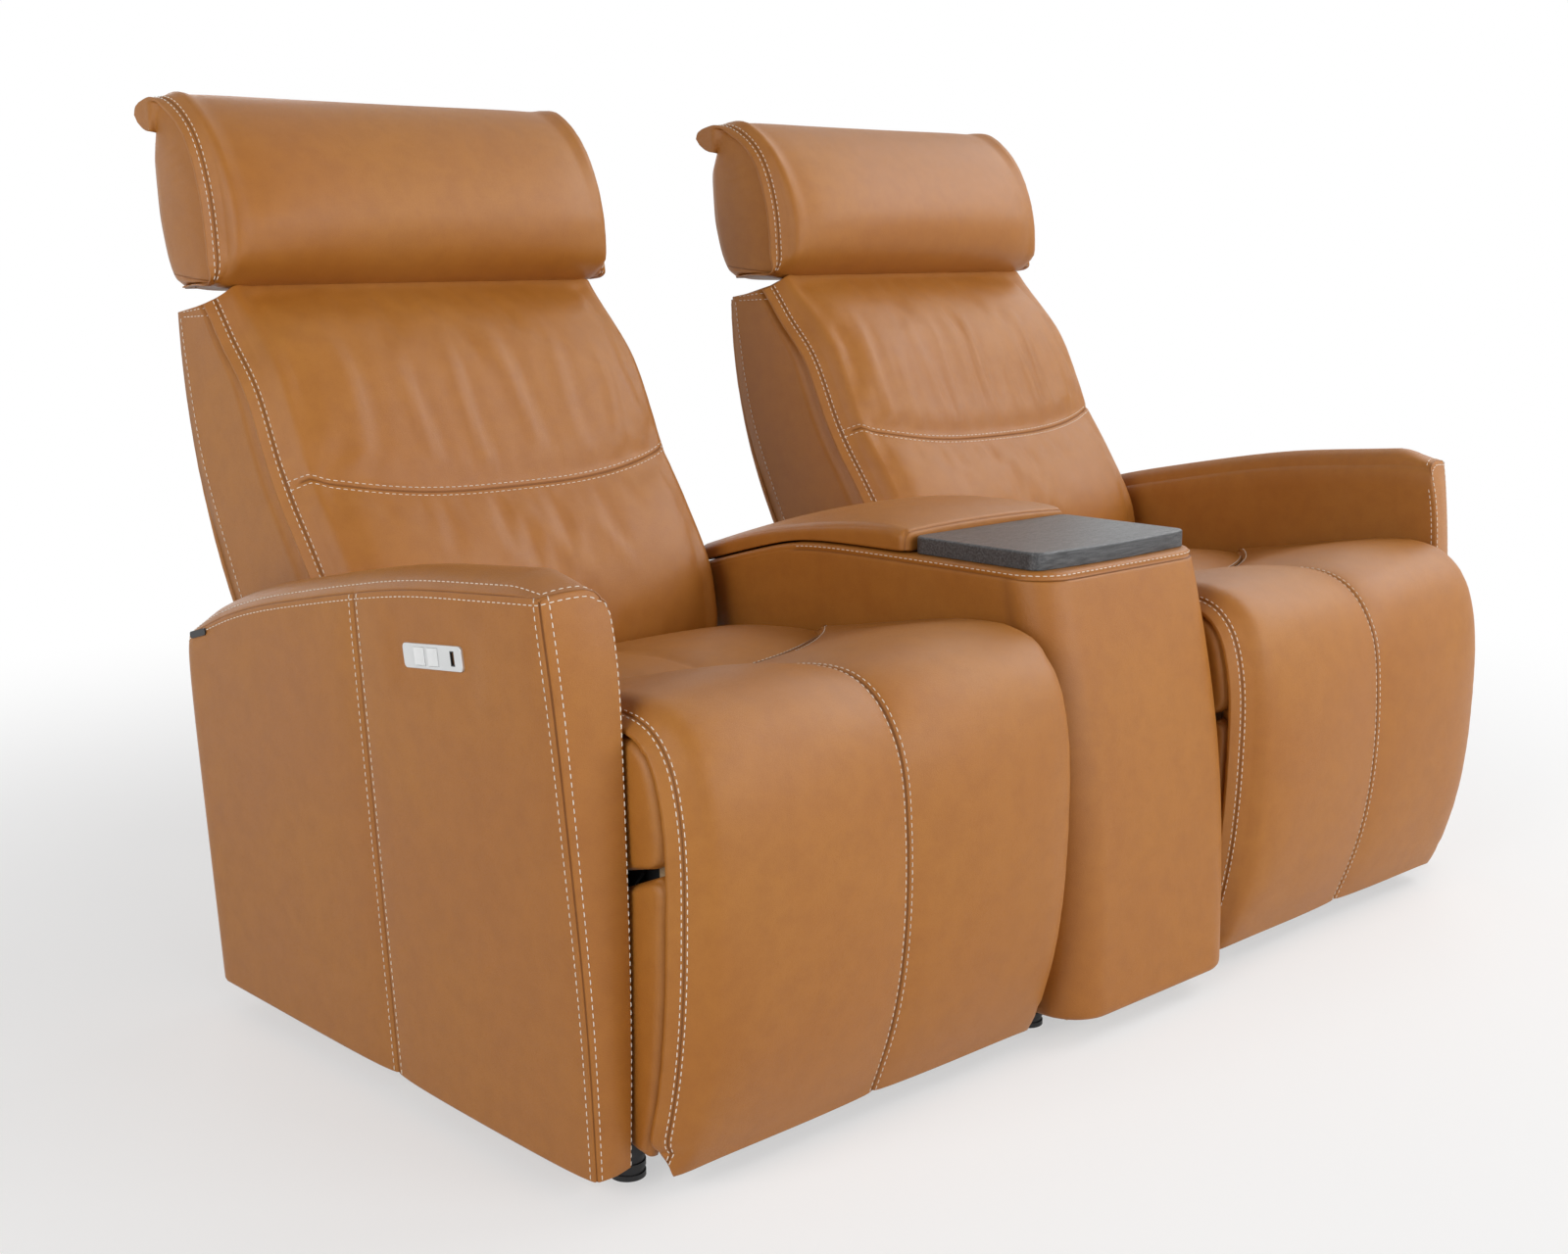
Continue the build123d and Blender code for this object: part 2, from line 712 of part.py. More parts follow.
for side, hand in sides:
    x = hand * seat_centre

    # Side plates carry the seat frame and both pivots
    with BuildPart() as side_plates:
        for span in pair(x, plate_in, plate_out):
            slab(span, (
                (spacer_front, rail_top),
                (spacer_front, leg_pivot_z - arm_bar_drop),
                (leg_pivot_y + hub_radius, leg_pivot_z - 2 * lever_length),
                leg_pivot,
                (seat_frame_front - hub_radius, leg_pivot_z - hub_radius),
                (seat_frame_front, seat_frame_high),
                (seat_rear, seat_frame_high),
                (recline_pivot_y - 2 * hub_radius, recline_pivot_z - hub_radius),
                recline_pivot,
                (recline_pivot_y + 2 * hub_radius, recline_pivot_z - hub_radius),
                (spacer_rear, seat_frame_low),
                (spacer_rear, rail_top),
            ))
            for pivot in (leg_pivot, recline_pivot):
                rod(span, pivot, hub_radius)
                rod(span, pivot, pin_radius, Mode.SUBTRACT)
    finish(side_plates, f"side_plates_{side}")

    # Seat: a ring of boards under the straps and the cushion
    with BuildPart() as seat_frame:
        block(
            (x - plate_in, x + plate_in),
            (seat_frame_front, seat_frame_rear),
            (seat_frame_low, seat_frame_high),
        )
        block(
            (x - plate_in + seat_frame_side, x + plate_in - seat_frame_side),
            (seat_frame_front + seat_frame_end, seat_frame_rear - seat_frame_end),
            (seat_frame_low, seat_frame_high),
            Mode.SUBTRACT,
        )
    finish(seat_frame, f"seat_frame_{side}")

    with BuildPart() as seat_cushion:
        loft([seat_section(x + share * half_seat, share) for share in seat_shares], ruled=True)
    finish(seat_cushion, f"seat_cushion_{side}")

    # Leg rest: swing arms, board, pad and the padded nose that rolls into the seat's front
    with BuildPart() as legrest_arms:
        for s in (-1, 1):
            span = (x + s * link_in, x + s * link_out)
            rod(span, leg_pivot, hub_radius)
            block(
                span,
                (board_back, board_back + arm_bar_width),
                (leg_pivot_z - arm_bar_drop, leg_pivot_z),
            )
            strip(span, leg_pivot, lever_stud, lever_width)
            rod(span, leg_pivot, pin_radius + running_gap, Mode.SUBTRACT)
            rod((x + s * (bar_in - link_gap), x + s * link_in), lever_stud, stud_radius)
    finish(legrest_arms, f"legrest_arms_{side}")

    with BuildPart() as legrest_board:
        block(
            (x - half_seat + board_margin, x + half_seat - board_margin),
            (board_front, board_back),
            (floor_gap + board_margin, leg_pivot_z - nose_bore),
        )
    finish(legrest_board, f"legrest_board_{side}")

    with BuildPart() as legrest_pad:
        loft([leg_section(x + share * half_seat, share) for share in seat_shares], ruled=True)
    finish(legrest_pad, f"legrest_pad_{side}")

    with BuildPart() as nose_roll:
        sector(
            (x - half_seat, x + half_seat),
            leg_pivot,
            (nose_bore, nose_radius),
            (nose_lip_angle + nose_slip_angle, 180),
        )
        ends = nose_roll.faces().filter_by(Axis.X).edges().filter_by(GeomType.CIRCLE)
        fillet(ends.filter_by(lambda e: e.radius > (nose_bore + nose_radius) / 2), nose_edge)
    finish(nose_roll, f"nose_roll_{side}")

    # Actuator and the yoke that it pulls forward
    with BuildPart() as actuator:
        block((x - rail_half, x + rail_half), (seat_frame_front, seat_frame_rear), (rail_low, rail_high))
        for y in (seat_frame_front, seat_frame_rear - hanger_length):
            block((x - rail_half, x + rail_half), (y, y + hanger_length), (rail_high, seat_frame_low))
        gear_y = (seat_frame_rear, seat_frame_rear + gearbox_length)
        gear_z = (rail_high - gearbox_height, rail_high + rail_half)
        block((x - gearbox_width / 2, x + gearbox_width / 2), gear_y, gear_z)
        fillet(actuator.faces().sort_by(Axis.Y)[-1].edges(), motor_radius / 4)
        with Locations((x, sum(gear_y) / 2, gear_z[0] - motor_length)):
            Cylinder(motor_radius, motor_length, align=(Align.CENTER, Align.CENTER, Align.MIN))
        fillet(actuator.faces().sort_by(Axis.Z)[0].edges(), motor_radius / 5)
    finish(actuator, f"actuator_{side}")

    with BuildPart() as drive_yoke:
        yoke_half = rail_half + slide_gap + yoke_cheek
        yoke_y = (yoke_rest - yoke_length / 2, yoke_rest + yoke_length / 2)
        yoke_z = (rail_low - slide_gap - yoke_floor, rail_high - slide_gap)
        block((x - yoke_half, x + yoke_half), yoke_y, yoke_z)
        block(
            (x - rail_half - slide_gap, x + rail_half + slide_gap),
            yoke_y,
            (rail_low - slide_gap, rail_high),
            Mode.SUBTRACT,
        )
        block((x - bar_out, x + bar_out), (yoke_y[0] + yoke_floor, yoke_y[1] - yoke_floor),
              (yoke_z[0], rail_low - slide_gap))
        riser = stud_radius + slot_gap + boss_margin
        for span in pair(x, bar_in, bar_out):
            block(span, (lever_stud[0] - riser, crank_stud[0] + riser), (bar_low, bar_high))
            block(span, (lever_stud[0] - riser, lever_stud[0] + riser), (bar_low, lever_stud[1]))
            boss_block(span, lever_stud, lever_sag)
            boss_block(span, crank_stud, crank_sag)
            slot_cut(span, lever_stud, lever_sag)
            slot_cut(span, crank_stud, crank_sag)
    finish(drive_yoke, f"drive_yoke_{side}")

    # Back: steel links, curved board, cushion and outer skin
    with BuildPart() as recline_links:
        for s in (-1, 1):
            span = (x + s * link_in, x + s * link_out)
            rear_y = back_point(board_radius, back_low_angle)[0]
            slab(span, (
                (recline_pivot_y, recline_pivot_z - hub_radius),
                (rear_y, underside_z(rear_y) - link_depth),
                (rear_y, underside_z(rear_y) - link_gap),
                (recline_pivot_y, underside_z(recline_pivot_y) - link_gap),
            ))
            sector(
                span,
                (back_arc_y, back_arc_z),
                (cushion_radius - running_gap, back_arc_radius + back_skin),
                (back_low_angle - link_cut_angle, back_high_angle),
                Mode.SUBTRACT,
            )
            rod(span, recline_pivot, hub_radius)
            strip(span, recline_pivot, crank_stud, crank_width)
            rod(span, recline_pivot, pin_radius + running_gap, Mode.SUBTRACT)
            rod((x + s * (bar_in - link_gap), x + s * link_in), crank_stud, stud_radius)
    finish(recline_links, f"recline_links_{side}")

    with BuildPart() as back_shell:
        sector(
            (x - half_back + back_board_margin, x + half_back - back_board_margin),
            (back_arc_y, back_arc_z),
            (cushion_radius, board_radius),
            (back_low_angle, board_high_angle),
        )
    finish(back_shell, f"back_board_{side}")

    with BuildPart() as back_panel:
        sector(
            (x - half_back, x + half_back),
            (back_arc_y, back_arc_z),
            (board_radius, back_arc_radius),
            (back_low_angle, back_high_angle),
        )
        fillet(back_panel.faces().sort_by(SortBy.AREA)[-1].edges(), back_skin / 2)
    finish(back_panel, f"back_panel_{side}")

    with BuildPart() as back_cushion:
        loft([back_section(x + share * half_back, share) for share in back_shares], ruled=True)
        for span in pair(x, half_back - back_board_margin, half_back):
            sector(
                span,
                (back_arc_y, back_arc_z),
                (cushion_radius, board_radius),
                (cushion_low_angle, board_high_angle),
            )
    finish(back_cushion, f"back_cushion_{side}")

    # Headrest: hinge arms on the back, board with lugs, pillow with its rear flap
    head_pivot = (head_pivot_y, head_pivot_z)
    board_top = back_point((cushion_radius + board_radius) / 2, board_high_angle)
    with BuildPart() as headrest_arms:
        for s in (-1, 1):
            inner = x + s * head_arm_shift
            span = (inner, inner + s * head_arm_thick)
            slab(span, (
                back_point(cushion_radius + running_gap, board_high_angle),
                back_point(board_radius - running_gap, board_high_angle),
                (board_top[0], head_pivot_z + head_eye_radius / 2),
                (head_pivot_y, head_pivot_z + head_eye_radius),
                (head_pivot_y, head_pivot_z - head_eye_radius / 2),
            ))
            rod(span, head_pivot, head_eye_radius)
            rod(span, head_pivot, head_pin_radius + running_gap, Mode.SUBTRACT)
    finish(headrest_arms, f"headrest_arms_{side}")

    with BuildPart() as headrest_board:
        block(
            (x - half_back + head_core_margin, x + half_back - head_core_margin),
            (head_core_y, head_core_y + head_core_thick),
            (head_core_low, head_core_high),
        )
        for s in (-1, 1):
            lug = x + s * (head_arm_shift + head_arm_thick + link_gap / 2)
            span = (lug, lug + s * head_lug_thick)
            slab(span, (
                (head_core_y, head_core_low),
                (head_core_y + head_core_thick, head_core_low),
                (head_pivot_y, head_pivot_z - head_eye_radius),
                (head_pivot_y - head_eye_radius, head_pivot_z),
            ))
            rod(span, head_pivot, head_eye_radius)
            rod((x + s * (head_arm_shift - link_gap), lug), head_pivot, head_pin_radius)
    finish(headrest_board, f"headrest_board_{side}")

    with BuildPart() as headrest_pad:
        loft([head_section(x + share * half_back, share) for share in head_shares], ruled=True)
        lip_low = head_top_z - 3 * head_lip_thick
        slab((x - half_back, x + half_back), (
            (head_top_y - head_lip_thick, head_top_z - head_lip_thick),
            (head_top_y, head_lip_top),
            (head_lip_reach - 2 * head_lip_thick, head_lip_top - head_lip_thick / 2),
            (head_lip_reach, head_lip_top - 2.5 * head_lip_thick),
            (head_lip_reach - head_lip_thick / 2, head_lip_top - 3 * head_lip_thick),
            (head_lip_reach - 3 * head_lip_thick, head_lip_top - 2 * head_lip_thick),
            (head_top_y + head_lip_thick, lip_low),
        ))
        block(
            (x - half_back + head_core_margin, x + half_back - head_core_margin),
            (head_core_y, head_core_y + head_core_thick),
            (head_core_low, head_core_high),
            Mode.SUBTRACT,
        )
        for s in (-1, 1):
            notch_in = x + s * (head_arm_shift - head_notch_gap)
            notch_out = notch_in + s * (head_arm_thick + head_lug_thick + 3 * head_notch_gap)
            block(
                (notch_in, notch_out),
                (head_pivot_y - 3 * head_eye_radius, head_core_y + 3 * head_core_thick),
                (head_low - head_notch_gap, head_notch_high),
                Mode.SUBTRACT,
            )
    finish(headrest_pad, f"headrest_pad_{side}")

    with BuildPart() as rear_panel:
        block(
            (x - half_seat + rear_panel_margin, x + half_seat - rear_panel_margin),
            (rail_rear, rail_rear + rear_panel_thick),
            (rear_panel_low, rear_panel_high),
        )
        fillet(rear_panel.faces().sort_by(Axis.Y)[-1].edges(), rear_panel_thick / 3)
    finish(rear_panel, f"rear_panel_{side}")


# Console: leather cover over a box of boards, with a bin under the lid
def console_top_z(y):
    return console_top - console_slope * max(0, y - console_break)


def console_solid(inset, high, half, mode=Mode.ADD):
    # The side outline shrunk by inset, with its top lowered by high
    rear_y = console_rear_top - inset
    with BuildSketch(Plane.YZ.offset(-half)) as outline:
        with BuildLine():
            ThreePointArc(
                (console_front_foot + inset, floor_gap),
                (console_front_mid + inset, console_mid_z),
                (console_front_top + inset, console_top - high),
            )
            Polyline(
                (console_front_top + inset, console_top - high),
                (console_break, console_top - high),
                (rear_y, console_top_z(rear_y) - high),
                (console_rear_foot - inset, floor_gap),
                (console_front_foot + inset, floor_gap),
            )
        make_face()
    extrude(outline.sketch, amount=2 * half, mode=mode)


frame_half = console_half - console_padding
lid_pivot = (lid_pivot_y, console_top_z(lid_pivot_y) + lid_pivot_lift)
screw_places = [(s * (tray_half - screw_inset), y)
                for s in (-1, 1) for y in (tray_front + screw_inset, tray_rear - screw_inset)]
deck_low = console_top - console_padding - console_board


def bin_block(shrink, low, mode):
    block(
        (-bin_half + shrink, bin_half - shrink),
        (bin_front + shrink, bin_rear - shrink),
        (low, console_top + console_padding),
        mode,
    )


def screw_holes():
    for place_x, place_y in screw_places:
        with Locations((place_x, place_y, deck_low)):
            Cylinder(screw_radius, console_top - deck_low, align=(Align.CENTER, Align.CENTER, Align.MIN),
                     mode=Mode.SUBTRACT)


def hinge_foot(mode):
    for s in (-1, 1):
        block(
            (s * lid_knuckle_shift, s * (lid_knuckle_shift + lid_knuckle_width)),
            (lid_pivot_y - lid_knuckle / 2, lid_pivot_y + lid_knuckle),
            (lid_pivot[1] - lid_pivot_lift - console_padding, lid_pivot[1]),
            mode,
        )


with BuildPart() as console_cover:
    console_solid(0, 0, console_half)
    front_face = console_cover.faces().sort_by(Axis.Y)[0]
    fillet(front_face.edges().filter_by(lambda e: abs(e.tangent_at(0.5).X) < 0.1), console_corner)
    top_edges = console_cover.faces().filter_by(lambda f: f.normal_at().Z > 0.9).edges()
    fillet(top_edges.filter_by(lambda e: abs(e.center().Y - console_break) > 1), console_edge)
    console_solid(console_frame_inset, console_padding, frame_half, Mode.SUBTRACT)
    bin_block(0, bin_low, Mode.SUBTRACT)
    screw_holes()
    hinge_foot(Mode.SUBTRACT)
finish(console_cover, "console_cover")

with BuildPart() as console_frame:
    console_solid(console_frame_inset, console_padding, frame_half)
    console_solid(
        console_frame_inset + console_board,
        console_padding + console_board,
        frame_half - console_board,
        Mode.SUBTRACT,
    )
    block(
        (-frame_half, frame_half),
        (bin_front - console_board, bin_rear + console_board),
        (bin_low - console_board, bin_low),
    )
    bin_block(0, bin_low, Mode.SUBTRACT)
    screw_holes()
    hinge_foot(Mode.SUBTRACT)
finish(console_frame, "console_frame")

with BuildPart() as console_bin:
    bin_block(0, bin_low, Mode.ADD)
    bin_block(bin_wall, bin_low + bin_wall, Mode.SUBTRACT)
    slab((-bin_half, bin_half), (
        (bin_front, console_top - bin_rim),
        (console_break, console_top - bin_rim),
        (bin_rear, console_top_z(bin_rear) - bin_rim),
        (bin_rear, console_top + 2 * console_padding),
        (bin_front, console_top + 2 * console_padding),
    ), Mode.SUBTRACT)
finish(console_bin, "console_bin")

with BuildPart() as console_tray:
    with BuildSketch(Plane.XY.offset(console_top)):
        with BuildLine():
            Polyline(
                (-tray_half, tray_front),
                (-tray_half, tray_rear),
                (tray_half, tray_rear),
                (tray_half, tray_front),
            )
            ThreePointArc((tray_half, tray_front), (0, tray_front - tray_bow), (-tray_half, tray_front))
        make_face()
    extrude(amount=tray_thick)
    fillet(console_tray.edges().filter_by(Axis.Z), tray_corner)
    fillet(console_tray.faces().sort_by(Axis.Z)[-1].edges(), tray_edge)
    for place_x, place_y in screw_places:
        with Locations((place_x, place_y, console_top)):
            Cylinder(screw_radius, screw_bite, align=(Align.CENTER, Align.CENTER, Align.MIN),
                     mode=Mode.SUBTRACT)
finish(console_tray, "console_tray")

with BuildPart() as tray_screws:
    for place_x, place_y in screw_places:
        with Locations((place_x, place_y, deck_low)):
            Cylinder(screw_radius, console_top - deck_low + screw_bite,
                     align=(Align.CENTER, Align.CENTER, Align.MIN))
            Cylinder(screw_head, screw_head_thick, align=(Align.CENTER, Align.CENTER, Align.MAX))
finish(tray_screws, "tray_screws")


# Lid: a board that lies just over the console's top, and a pad wrapped over it
def lid_floor(y):
    return console_top_z(y) + lid_gap


def lid_board_solid(mode):
    front = lid_front + lid_board_margin
    rear = lid_rear - lid_board_margin
    half = lid_half - lid_board_margin
    slab((-half, half), (
        (front, lid_floor(front)),
        (console_break, lid_floor(console_break)),
        (rear, lid_floor(rear)),
        (rear, lid_floor(rear) + lid_board_thick),
        (console_break, lid_floor(console_break) + lid_board_thick),
        (front, lid_floor(front) + lid_board_thick),
    ), mode)


def lid_lug(s, mode):
    lug_in = s * (lid_knuckle_shift + lid_knuckle_width + lid_lug_gap)
    lug_out = lug_in + s * lid_knuckle_width
    rear = lid_rear - lid_board_margin
    slab((lug_in, lug_out), (
        (rear, lid_floor(rear)),
        (lid_pivot_y, lid_pivot[1] - lid_knuckle / 2),
        (lid_pivot_y, lid_pivot[1] + lid_knuckle),
        (rear, lid_floor(rear) + lid_board_thick),
    ), mode)


def lid_section(x, share):
    puff = lid_puff * (1 - share**2 - abs(share) ** edge_draw)
    front = (lid_front, lid_floor(lid_front))
    brow = (lid_front, lid_floor(lid_front) + lid_front_height + puff / 2)
    crest = (lid_crest_y, lid_floor(lid_crest_y) + lid_crest_height + puff)
    slope = (lid_slope_y, lid_floor(lid_slope_y) + lid_slope_height + puff)
    tail = (lid_rear, lid_floor(lid_rear) + lid_rear_height + puff / 2)
    with BuildSketch(Plane.YZ.offset(x)) as slice_face:
        with BuildLine():
            rise = ((brow[0] + crest[0]) / 2, (brow[1] + crest[1]) / 2 + lid_puff / 2)
            fall = ((crest[0] + slope[0]) / 2, (crest[1] + slope[1]) / 2 + lid_puff / 2)
            run_out = ((slope[0] + tail[0]) / 2, (slope[1] + tail[1]) / 2 + lid_puff / 4)
            ThreePointArc(brow, rise, crest)
            ThreePointArc(crest, fall, slope)
            ThreePointArc(slope, run_out, tail)
            Polyline(
                tail,
                (lid_rear, lid_floor(lid_rear)),
                (console_break, lid_floor(console_break)),
                front,
                brow,
            )
        make_face()
    return slice_face.sketch


with BuildPart() as console_lid_board:
    lid_board_solid(Mode.ADD)
    for s in (-1, 1):
        lid_lug(s, Mode.ADD)
        lug_in = s * (lid_knuckle_shift + lid_knuckle_width + lid_lug_gap)
        span = (lug_in, lug_in + s * lid_knuckle_width)
        rod(span, lid_pivot, lid_knuckle)
        rod(span, lid_pivot, lid_pin_radius + running_gap, Mode.SUBTRACT)
finish(console_lid_board, "console_lid_board")

with BuildPart() as console_lid_pad:
    loft([lid_section(share * lid_half, share) for share in back_shares], ruled=True)
    lid_board_solid(Mode.SUBTRACT)
    for s in (-1, 1):
        lid_lug(s, Mode.SUBTRACT)
finish(console_lid_pad, "console_lid_pad")

with BuildPart() as lid_hinge:
    hinge_foot(Mode.ADD)
    for s in (-1, 1):
        end = lid_knuckle_shift + 2 * lid_knuckle_width
        rod((s * lid_knuckle_shift, s * (lid_knuckle_shift + lid_knuckle_width)), lid_pivot, lid_knuckle)
        rod((s * lid_knuckle_shift, s * end), lid_pivot, lid_pin_radius)
finish(lid_hinge, "lid_hinge")
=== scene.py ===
import bpy
import math
import numpy as np
from mathutils import Matrix, Vector


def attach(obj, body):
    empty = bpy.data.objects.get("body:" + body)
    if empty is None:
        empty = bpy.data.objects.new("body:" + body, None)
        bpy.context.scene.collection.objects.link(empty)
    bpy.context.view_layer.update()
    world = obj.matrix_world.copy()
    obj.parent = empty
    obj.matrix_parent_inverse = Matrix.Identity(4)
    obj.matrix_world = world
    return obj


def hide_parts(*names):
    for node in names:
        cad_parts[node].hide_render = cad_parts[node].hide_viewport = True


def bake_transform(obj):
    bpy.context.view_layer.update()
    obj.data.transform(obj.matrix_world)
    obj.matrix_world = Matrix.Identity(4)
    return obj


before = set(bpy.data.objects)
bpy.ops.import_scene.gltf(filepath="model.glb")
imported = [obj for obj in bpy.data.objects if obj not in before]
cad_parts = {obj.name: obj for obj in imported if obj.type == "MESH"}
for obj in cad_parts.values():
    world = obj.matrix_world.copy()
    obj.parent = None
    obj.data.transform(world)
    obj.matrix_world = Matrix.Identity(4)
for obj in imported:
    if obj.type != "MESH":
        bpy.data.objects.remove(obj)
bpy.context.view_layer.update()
chance = np.random.default_rng(11)
sides = (("left", -1), ("right", 1))
seatCentre = 443.5  # all shapes below are in mm, and are scaled when the mesh is made
print("frame loaded,", len(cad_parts), "nodes")


class Wire:  # one shader socket, so that maths on it adds Math nodes
    def __init__(self, finish, socket):
        self.finish, self.socket = finish, socket

    def maths(self, operation, *values):
        return self.finish.node("Math", {"operation": operation}, dict(enumerate(values)))

    def __add__(self, other): return self.maths("ADD", self, other)
    def __rsub__(self, other): return self.maths("SUBTRACT", other, self)
    def __mul__(self, other): return self.maths("MULTIPLY", self, other)
    __radd__, __rmul__ = __add__, __mul__

    def between(self, low, high):  # 0 below low, 1 above high, smooth between
        return self.finish.node("MapRange", {"interpolation_type": "SMOOTHSTEP"}, {0: self, 1: low, 2: high})


class Nodes:  # a node tree, and one method for any node in it
    def __init__(self, tree):
        self.tree = tree

    def node(self, kind, settings=None, sockets=None, out=0):
        made = self.tree.nodes.new("ShaderNode" + kind)
        for key, value in (settings or {}).items():
            setattr(made, key, value)
        for key, value in (sockets or {}).items():
            self.feed(made.inputs[key], value)
        return Wire(self, made.outputs[out])

    def feed(self, socket, value):
        if isinstance(value, Wire):
            self.tree.links.new(value.socket, socket)
        else:
            socket.default_value = value

    def seenRays(self):  # 1 for the rays that show the plain white background
        path = self.tree.nodes.new("ShaderNodeLightPath")
        rays = [Wire(self, path.outputs[f"Is {kind} Ray"]) for kind in ("Camera", "Glossy", "Transmission")]
        return rays[0] + rays[1] + rays[2]


class Finish(Nodes):  # one procedural material
    def __init__(self, name, constants=None):
        self.material = bpy.data.materials.new(name)
        self.material.use_nodes = True
        super().__init__(self.material.node_tree)
        self.shader = self.tree.nodes["Principled BSDF"]
        self.paint(constants or {})
        self.place = self.node("TexCoord", out=3)

    def paint(self, values):
        for key, value in values.items():
            self.feed(self.shader.inputs[key], value)

    def mix(self, share, first, second):
        colours = [c if isinstance(c, Wire) else (*c, 1) for c in (first, second)]
        return self.node("Mix", {"data_type": "RGBA"}, {0: share, 6: colours[0], 7: colours[1]}, out=2)

    def stretched(self, x, y, z):
        return self.node("VectorMath", {"operation": "MULTIPLY"}, {0: self.place, 1: (x, y, z)})

    def noise(self, scale, detail=2, rough=.5, at=None):
        sockets = {"Vector": at or self.place, "Scale": scale, "Detail": detail, "Roughness": rough}
        return self.node("TexNoise", {}, sockets)

    def cells(self, scale, wide):  # 0 on the lines between cells, 1 inside them
        lines = self.node("TexVoronoi", {"feature": "DISTANCE_TO_EDGE"}, {"Vector": self.place, "Scale": scale})
        return lines.between(0, wide)

    def bands(self, way, scale, **more):
        return self.node("TexWave", {"bands_direction": way}, {"Vector": self.place, "Scale": scale, **more})

    def bump(self, height, strength, depth):
        self.paint({"Normal": self.node("Bump", {}, {"Height": height, "Strength": strength, "Distance": depth})})


def leatherFinish():
    # the seam colour is painted shade, darkening the leather in the bottom of the seam grooves
    look = {"tan": (.36, .130, .0165), "deep": (.24, .076, .009), "pale": (.41, .167, .026), "seam": (.12, .037, .006),
            "grain": 640, "crease": 640 * .37}
    f = Finish("cognacLeather", {"Specular IOR Level": .48, "IOR": 1.45})
    seam = f.node("Attribute", {"attribute_name": "seam"}, out=2)  # painted shade: 1 in the bottom of a seam, where the groove's shade is painted darker
    clouds = f.noise(4.5, 3, .55).between(.32, .72)
    mottle = f.noise(42, 4, .6).between(.3, .75)
    speckle = f.noise(320, 3, .65)
    pores, creases = f.cells(look["grain"], .16), f.cells(look["crease"], .09)
    body = f.mix(clouds * .5, look["tan"], look["pale"])
    body = f.mix(mottle * .26, body, look["deep"])
    body = f.mix((1 - pores) * .14, body, look["deep"])
    # painted shade: the seam grooves are darkened towards the seam colour
    f.paint({"Base Color": f.mix(seam * .75, body, look["seam"]),
             "Roughness": .36 + clouds * .06 + (1 - pores) * .12 + speckle * .05 + seam * .2})
    f.bump(pores * .5 + creases * .35 + speckle * .4, .3, .0005)
    return f.material


def threadFinish():
    f = Finish("creamThread", {"Roughness": .72, "Sheen Weight": .2})
    twist = f.bands("DIAGONAL", 1400, Distortion=2)
    f.paint({"Base Color": f.mix(twist * .4, (.86, .80, .70), (.62, .55, .45))})
    f.bump(twist, .5, .0002)
    return f.material


def trayFinish():
    f = Finish("charcoalWood", {"Specular IOR Level": .4})
    streak = f.noise(9, 5, .62, f.stretched(3, 46, 46))
    pore = f.noise(60, 3, .7, f.stretched(1.6, 26, 26)).between(.44, .62)
    f.paint({"Base Color": f.mix(streak.between(.3, .75), (.030, .031, .033), (.105, .106, .110)),
             "Roughness": .3 + pore * .12})
    f.bump(streak * .5 + pore * .5, .35, .0004)
    return f.material


def plywoodFinish():
    f = Finish("rawPlywood", {"Roughness": .68})
    ply = f.bands("Z", 90, Distortion=1.2).between(.3, .7)
    grain = f.noise(14, 5, .6, f.stretched(4, 30, 30))
    body = f.mix(grain, (.42, .27, .14), (.66, .48, .29))
    f.paint({"Base Color": f.mix(ply * .25, body, (.36, .22, .11))})
    f.bump(grain, .3, .0005)
    return f.material


def metalFinish(name, colour, metal, rough, speck):
    f = Finish(name)
    dust = f.noise(900, 2, .6)
    cloud = f.noise(18, 3)
    f.paint({"Base Color": f.mix(cloud, colour, tuple(c * .78 for c in colour)), "Metallic": metal,
             "Roughness": rough + dust * speck})
    f.bump(dust, .12, .0003)
    return f.material


def plasticFinish(name, colour, rough, speck, wear=.2):
    f = Finish(name, {"Specular IOR Level": .45})
    fine = f.noise(1500, 2, .6)
    cloud = f.noise(25, 3)
    f.paint({"Base Color": f.mix(cloud * wear, colour, tuple(c * .7 for c in colour)),
             "Roughness": rough + fine * speck})
    f.bump(fine, .10, .0002)
    return f.material


def webbingFinish():
    f = Finish("elasticWebbing", {"Roughness": .85})
    weave = f.bands("Y", 160, **{"Phase Offset": 1.5}) * f.bands("X", 160)
    f.paint({"Base Color": f.mix(weave, (.045, .042, .038), (.12, .11, .1))})
    f.bump(weave, .6, .0006)
    return f.material


finishes = {
    "leather": leatherFinish(), "thread": threadFinish(), "tray_wood": trayFinish(), "plywood": plywoodFinish(),
    "black_steel": metalFinish("blackPowderCoat", (.022, .022, .024), .2, .45, .15),
    "zinc_steel": metalFinish("zincPlate", (.58, .58, .56), 1, .3, .15),
    "plate_silver": metalFinish("satinSilver", (.74, .75, .75), .55, .34, .08),
    "motor_black": plasticFinish("motorHousing", (.026, .026, .028), .5, .15),
    "black_plastic": plasticFinish("blackPlastic", (.014, .014, .015), .42, .12),
    "key_white": plasticFinish("satinWhiteKey", (.78, .79, .79), .28, .05, .06),
    "webbing": webbingFinish(),
}
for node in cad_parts.values():  # every carried-over node gets its worked finish
    slot = node.data.materials[0].name.split(".")[0]
    node.data.materials[0] = finishes[slot]
print("finishes made", sorted(finishes))


